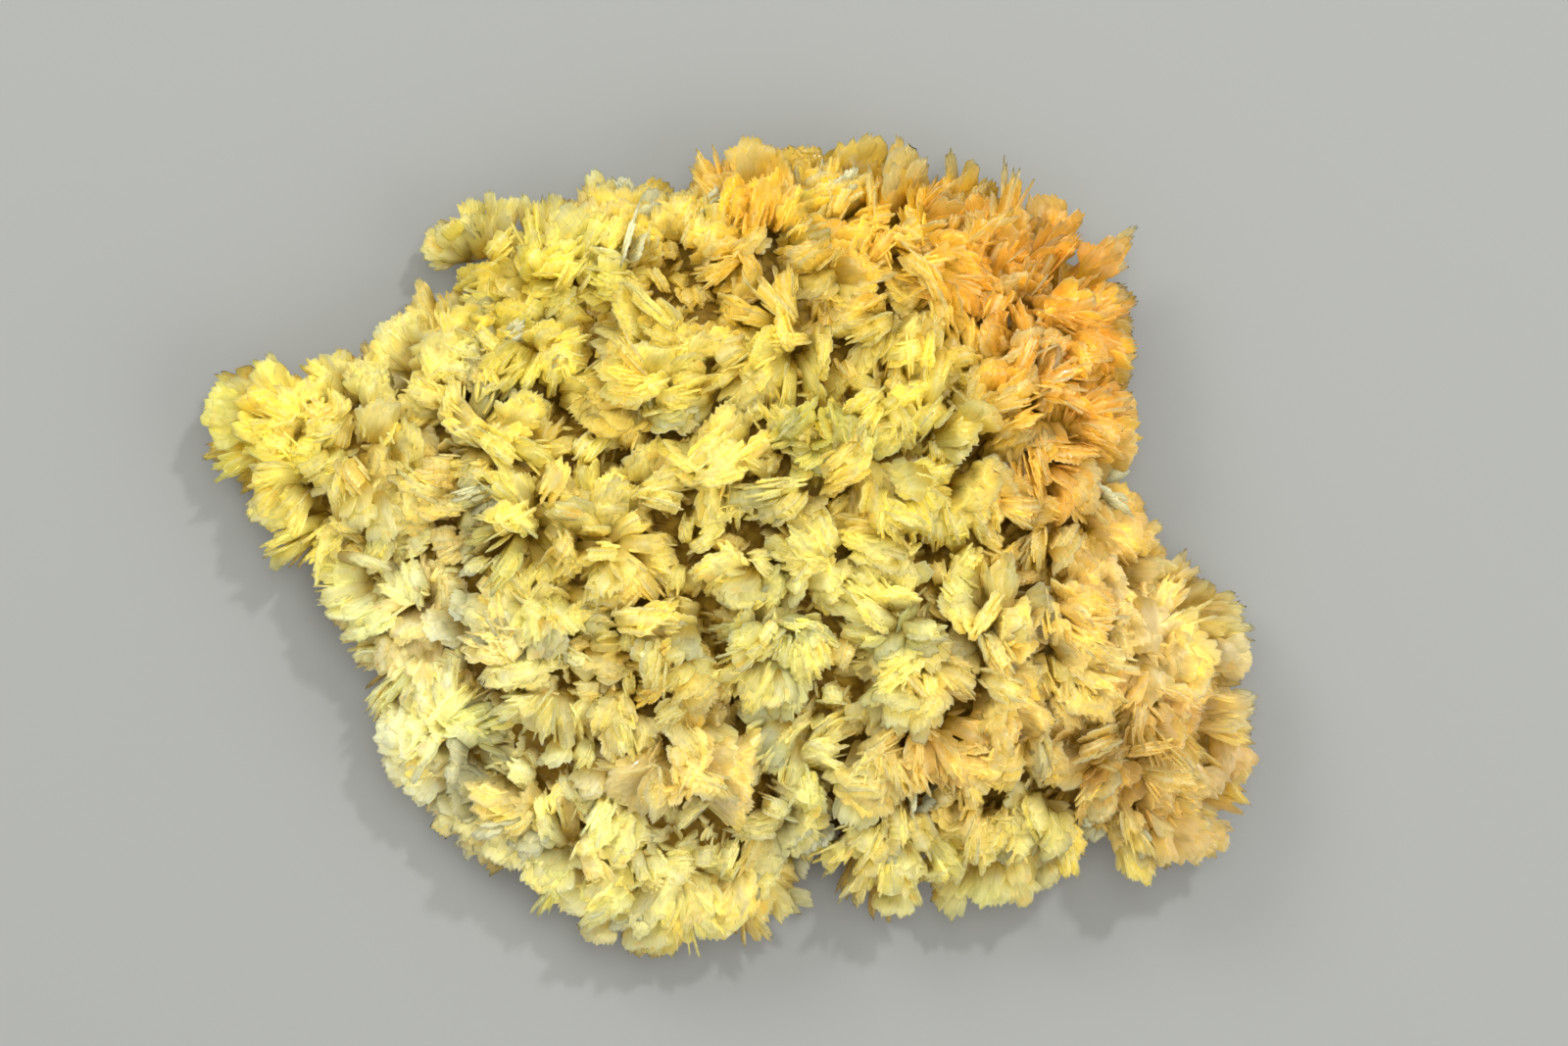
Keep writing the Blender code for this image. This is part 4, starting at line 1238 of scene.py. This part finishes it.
@dataclass
class Stamp:
    """Turns lists of blades into joined meshes.

    roof is the height of the highest blade in each cell, and canopy the height that the blades round it have.
    """

    shapes: list[BladeShape] = field(default_factory=blade_shapes)
    cell: float = 1.2 * MM
    cells: int = 120
    cover: float = 2.6 * MM
    clear_of_ground: float = 0.5 * MM
    grain: tuple[float, float] = (3.4, 0.9)
    windows: tuple[int, int] = (4, 2)
    inland_from: float = 0.55
    inland_over: float = 0.3
    trims: int = 24
    trim_length: float = 0.94
    trim_width: float = 0.96
    canopy: np.ndarray | None = None
    roof: np.ndarray | None = None

    def __post_init__(self) -> None:
        """Reads each blade form once, as arrays."""
        self.forms = [self.read(shape) for shape in self.shapes]

    def read(self, shape: BladeShape) -> tuple[np.ndarray, np.ndarray, np.ndarray]:
        """Reads a blade form as arrays.

        Args:
            shape: The form.

        Returns:
            Its corners, the corner numbers of its faces in a row, and its faces' sizes.
        """
        mesh = shape.mesh()
        mesh.verts.index_update()
        corners = np.array([v.co for v in mesh.verts])
        loops = np.array([v.index for f in mesh.faces for v in f.verts])
        sizes = np.array([len(f.verts) for f in mesh.faces])
        mesh.free()
        return corners, loops, sizes

    def fitted(self, blades: list[Blade], low: Vector, high: Vector) -> dict[str, np.ndarray]:
        """The blades as arrays, shortened where they would leave the box.

        Args:
            blades: The blades.
            low: The box's lowest corner.
            high: The box's highest corner.

        Returns:
            Arrays by the names of Blade's fields, with across besides.
        """
        rows = {name: np.array([getattr(b, name) for b in blades]) for name in Blade._fields}
        rows["across"] = np.cross(rows["growth"], rows["normal"])
        low = low + Vector((0, 0, self.clear_of_ground))
        for _ in range(self.trims):
            tip = rows["root"] + rows["growth"] * rows["length"][:, None]
            side = rows["across"] * rows["width"][:, None] * 0.42
            out = np.zeros(len(blades), bool)
            for corner in (tip, tip - rows["growth"] * rows["length"][:, None] * 0.2 + side,
                           tip - rows["growth"] * rows["length"][:, None] * 0.2 - side):
                out |= ((corner < np.array(low)) | (corner > np.array(high))).any(1)
            rows["length"][out] *= self.trim_length
            rows["width"][out] *= self.trim_width
        return rows

    def around(self, roof: np.ndarray, reach: int) -> np.ndarray:
        """Shifts the roof by up to so many cells each way.

        Args:
            roof: The height of the blades in each cell.
            reach: How many cells.

        Returns:
            A pile of the shifted roofs.
        """
        shifts = itertools.product(range(-reach, reach + 1), repeat=2)
        return np.stack([np.roll(roof, shift, (0, 1)) for shift in shifts])

    def cover_over(self, roof: np.ndarray) -> np.ndarray:
        """Smooths the roof, less widely near the outline.

        Args:
            roof: The height of the blades in each cell.

        Returns:
            The mean height of the blades round each cell.
        """
        wide, close = (self.around(roof, reach) for reach in self.windows)
        counted = (wide > 0).sum(axis=0).clip(1)
        inland = ((counted / len(wide) - self.inland_from) / self.inland_over).clip(0, 1)
        near = close.sum(axis=0) / (close > 0).sum(axis=0).clip(1)
        return wide.sum(axis=0) / counted * inland + near * (1 - inland)

    def bared(self, rows: dict[str, np.ndarray]) -> dict[str, np.ndarray]:
        """Leaves out the blades that others bury, which no side shows.

        Args:
            rows: The blades as arrays.

        Returns:
            The arrays without them.
        """
        tips = rows["root"] + rows["growth"] * rows["length"][:, None]
        middles = rows["root"] + rows["growth"] * rows["length"][:, None] * 0.5
        roof = np.zeros((self.cells, self.cells))
        for points in (tips, middles):
            np.maximum.at(roof, self.cell_of(points), points[:, 2])
        self.roof = roof
        self.canopy = self.cover_over(roof)
        lowest = self.around(roof, 1).min(axis=0)
        buried = tips[:, 2] < lowest[self.cell_of(tips)] - self.cover
        buried &= middles[:, 2] < lowest[self.cell_of(middles)] - self.cover
        return {name: value[~buried] for name, value in rows.items()}

    def roof_over(self, place: Vector) -> float:
        """The height of the highest blade over a place."""
        return float(self.roof[self.cell_of(np.array([place]))][0])

    def cell_of(self, points: np.ndarray) -> tuple[np.ndarray, np.ndarray]:
        """The rows and columns of the roof's cells that points stand in."""
        places = (points[:, :2] / self.cell + self.cells / 2).astype(int)
        return tuple(places.clip(0, self.cells - 1).T)

    def stamped(self, corners: np.ndarray, take: dict[str, np.ndarray], numbers: np.ndarray) -> dict[str, np.ndarray]:
        """Sets out the blades of one form.

        Args:
            corners: The form's corners.
            take: The blades as arrays.
            numbers: The blades' numbers.

        Returns:
            The corners of all of them, and what the finish reads at each, as arrays by name.
        """
        sized = np.stack([corners[None, :, axis] * take[size][:, None]
                          for axis, size in enumerate(("width", "length", "thickness"))], 2)
        basis = np.stack([take["across"], take["growth"], take["normal"]], 1)
        along = take["foot"][:, None] + corners[None, :, 1] * (take["top"] - take["foot"])[:, None]
        light, hue, own = (np.broadcast_to(value[:, None], along.shape)
                           for value in (take["light"], take["hue"], numbers * 0.37))
        rim = np.broadcast_to((np.abs(corners[None, :, 2]) < 1e-6).astype(float), along.shape)
        grain_x, grain_y = self.grain
        return {
            "points": (take["root"][:, None, :] + np.einsum("bvi,bij->bvj", sized, basis)).reshape(-1, 3),
            "blade_tone": np.stack([along, light, hue], 2).reshape(-1, 3),
            "blade_place": np.stack([sized[..., 0] / MM * grain_x, sized[..., 1] / MM * grain_y, own],
                                    2).reshape(-1, 3),
            "blade_edge": rim.reshape(-1),
        }

    def mesh(self, name: str, rows: dict[str, np.ndarray], chosen: np.ndarray) -> bpy.types.Mesh:
        """Joins some of the blades in one mesh.

        Args:
            name: The mesh's name.
            rows: The blades as arrays.
            chosen: Which of them to take.

        Returns:
            The mesh, with the attributes blade_tone, blade_place, blade_edge and painted_shade_depth.
        """
        parts, loops, sizes, total = [], [], [], 0
        for number, (corners, form_loops, form_sizes) in enumerate(self.forms):
            picked = np.flatnonzero(chosen & (rows["shape"] == number))
            if not len(picked):
                continue
            parts.append(self.stamped(corners, {key: value[picked] for key, value in rows.items()}, picked))
            starts = total + np.arange(len(picked)) * len(corners)
            loops.append((form_loops[None, :] + starts[:, None]).reshape(-1))
            sizes.append(np.tile(form_sizes, len(picked)))
            total += len(picked) * len(corners)
        joined = {key: np.concatenate([part[key] for part in parts]) for key in parts[0]}
        points = joined.pop("points")
        # How far each corner lies below the blades round it, in millimetres: the yellow finish lays its painted shade
        # by this.
        joined["painted_shade_depth"] = (self.canopy[self.cell_of(points)] - points[:, 2]) / MM
        all_loops, all_sizes = np.concatenate(loops), np.concatenate(sizes)
        made = bpy.data.meshes.new(name)
        made.vertices.add(total)
        made.vertices.foreach_set("co", points.astype(np.float32).ravel())
        made.loops.add(len(all_loops))
        made.loops.foreach_set("vertex_index", all_loops.astype(np.int32))
        made.polygons.add(len(all_sizes))
        made.polygons.foreach_set("loop_start", (np.cumsum(all_sizes) - all_sizes).astype(np.int32))
        made.update(calc_edges=True)
        for label, values in joined.items():
            kind, key = ("FLOAT", "value") if values.ndim == 1 else ("FLOAT_VECTOR", "vector")
            made.attributes.new(label, kind, "POINT").data.foreach_set(key, values.astype(np.float32).ravel())
        return made


def region_numbers(roots: np.ndarray) -> np.ndarray:
    """Shares out the blades among the regions.

    Args:
        roots: The blades' roots.

    Returns:
        The number of each blade's region.
    """
    x, y = roots[:, 0] / MM, roots[:, 1] / MM
    numbers = np.full(len(roots), Region.MIDDLE.value)
    for region, part in (
        (Region.UPPER_LEFT, (y > 16) & (x <= 8)),
        (Region.UPPER_RIGHT, (y > 12) & (x > 8)),
        (Region.LOWER_LEFT, (y < -9) & (x <= 6)),
        (Region.LOWER_RIGHT, (y < -9) & (x > 6)),
        (Region.CENTRE, (y <= 12) & (y >= -9) & (x > 6)),
        (Region.LEFT_ARM, x < -28),
        (Region.FAR_RIGHT, x > 34),
    ):
        numbers[part] = region.value
    return numbers


def show(name: str, data: bpy.types.Mesh) -> bpy.types.Object:
    """Puts a finished mesh in the scene, riding on the root body in place of the CAD solid.

    Args:
        name: The piece's name.
        data: The mesh, with its finish.

    Returns:
        The piece.
    """
    made = bpy.data.objects.new(name, data)
    bpy.context.scene.collection.objects.link(made)
    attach(made, "root")
    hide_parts(NODE)
    data.calc_loop_triangles()
    LOG.info("%s: %d triangles", name, len(data.loop_triangles))
    return made


@dataclass
class Covering:
    """The blades as pieces: the yellow ones by region, and the milky ones."""

    crop: Crop
    stamp: Stamp = field(default_factory=Stamp)
    yellow: BariteFinish = field(default_factory=BariteFinish)
    milky: ClearFinish = field(default_factory=ClearFinish)

    def yellow_rows(self) -> dict[str, np.ndarray]:
        """Grows the yellow blades, and fills in where the crust would lie bare.

        Returns:
            The blades as arrays.
        """
        rows = self.stamp.fitted(self.crop.blades(), *CAD_BOX)
        grown = len(rows["length"])
        rows = self.stamp.bared(rows)
        LOG.info("%d blades, %d of them buried", grown, grown - len(rows["length"]))
        small = self.stamp.fitted(self.crop.small_flakes(self.stamp.roof_over, random.Random(8)), *CAD_BOX)
        LOG.info("%d small flakes", len(small["length"]))
        return {name: np.concatenate([rows[name], small[name]]) for name in rows}

    def piece(self, name: str, rows: dict[str, np.ndarray], chosen: np.ndarray, finish: bpy.types.Material) -> None:
        """Builds one piece.

        Args:
            name: The piece's name.
            rows: The blades as arrays.
            chosen: Which of them to take.
            finish: Its material.
        """
        data = self.stamp.mesh(name, rows, chosen)
        data.materials.append(finish)
        show(name, data)

    def build(self) -> None:
        """Builds and dresses the pieces."""
        rows = self.yellow_rows()
        numbers = region_numbers(rows["root"])
        finish = self.yellow.material()
        for region in Region:
            self.piece(f"blades_{region.name.lower()}", rows, numbers == region.value, finish)
        rows = self.stamp.fitted(self.crop.milky_flakes(), *CAD_BOX)
        self.piece("clear_crystals", rows, np.ones(len(rows["length"]), bool), self.milky.material())


class Lamp(NamedTuple):
    """A square soft light: its name, place, size, power and colour."""

    name: str
    place: tuple[float, float, float]
    size: float
    power: float
    colour: Colour


LAMPS = (
    Lamp("key", (-0.45, 0.5, 0.6), 0.4, 1.62, (0.95, 1.0, 0.9)),
    Lamp("fill", (0.6, -0.3, 0.55), 0.6, 1.28, (0.97, 1.0, 0.92)),
    Lamp("top", (0.05, 0.12, 0.95), 0.4, 1.28, (0.95, 1.0, 0.96)),
    Lamp("glint", (0.3, 0.42, 0.8), 0.06, 1.3, (0.98, 1.0, 0.98)),
)


@dataclass
class Studio:
    """A pale floor, soft lights and the camera, which looks straight down as the photograph does."""

    lens: float = 100.0
    sensor: float = 36.0
    focus_height: float = 16 * MM
    floor_size: float = 3.0
    floor_grey: float = 0.62
    room_colour: tuple[float, float, float, float] = (1.0, 0.99, 0.96, 1)
    room_light: float = 0.31

    def floor(self) -> None:
        """Lays the floor that the specimen rests on."""
        mesh = bmesh.new()
        bmesh.ops.create_grid(mesh, x_segments=1, y_segments=1, size=self.floor_size / 2)
        data = bpy.data.meshes.new("floor")
        mesh.to_mesh(data)
        mesh.free()
        material = bpy.data.materials.new("pale_floor")
        material.use_nodes = True
        shader = material.node_tree.nodes["Principled BSDF"]
        shader.inputs["Base Color"].default_value = (self.floor_grey, self.floor_grey, self.floor_grey, 1)
        shader.inputs["Roughness"].default_value = 0.7
        data.materials.append(material)
        floor = bpy.data.objects.new("floor", data)
        bpy.context.scene.collection.objects.link(floor)

    def light(self, row: Lamp) -> None:
        """Adds a light that faces the specimen.

        Args:
            row: The light.
        """
        lamp = bpy.data.lights.new(row.name, "AREA")
        lamp.size, lamp.energy, lamp.color = row.size, row.power, row.colour
        thing = bpy.data.objects.new(row.name, lamp)
        thing.location = row.place
        thing.rotation_euler = (-Vector(row.place)).to_track_quat("-Z", "Y").to_euler()
        bpy.context.scene.collection.objects.link(thing)

    def build(self) -> None:
        """Sets up the floor, the lights and the camera."""
        self.floor()
        for row in LAMPS:
            self.light(row)
        world = bpy.data.worlds.new("soft_room")
        world.use_nodes = True
        world.node_tree.nodes["Background"].inputs[0].default_value = self.room_colour
        world.node_tree.nodes["Background"].inputs[1].default_value = self.room_light
        bpy.context.scene.world = world
        bpy.context.scene.view_settings.view_transform = "Standard"
        camera = bpy.data.objects.new("camera", bpy.data.cameras.new("camera"))
        camera.data.lens, camera.data.sensor_width = self.lens, self.sensor
        middle = plate_place(PHOTO_SIZE[0] / 2, PHOTO_SIZE[1] / 2)
        away = PHOTO_SIZE[0] * PIXEL * self.lens / self.sensor
        camera.location = (middle.x, middle.y, self.focus_height + away)
        bpy.context.scene.collection.objects.link(camera)
        bpy.context.scene.camera = camera


def main() -> None:
    """Builds the crust, its covering of blades and the studio, in that order."""
    logging.basicConfig(level=logging.INFO, format="%(message)s")
    crust = Crust()
    crust.build()
    Covering(Crop(crust)).build()
    Studio().build()


if __name__ == "__main__":
    main()
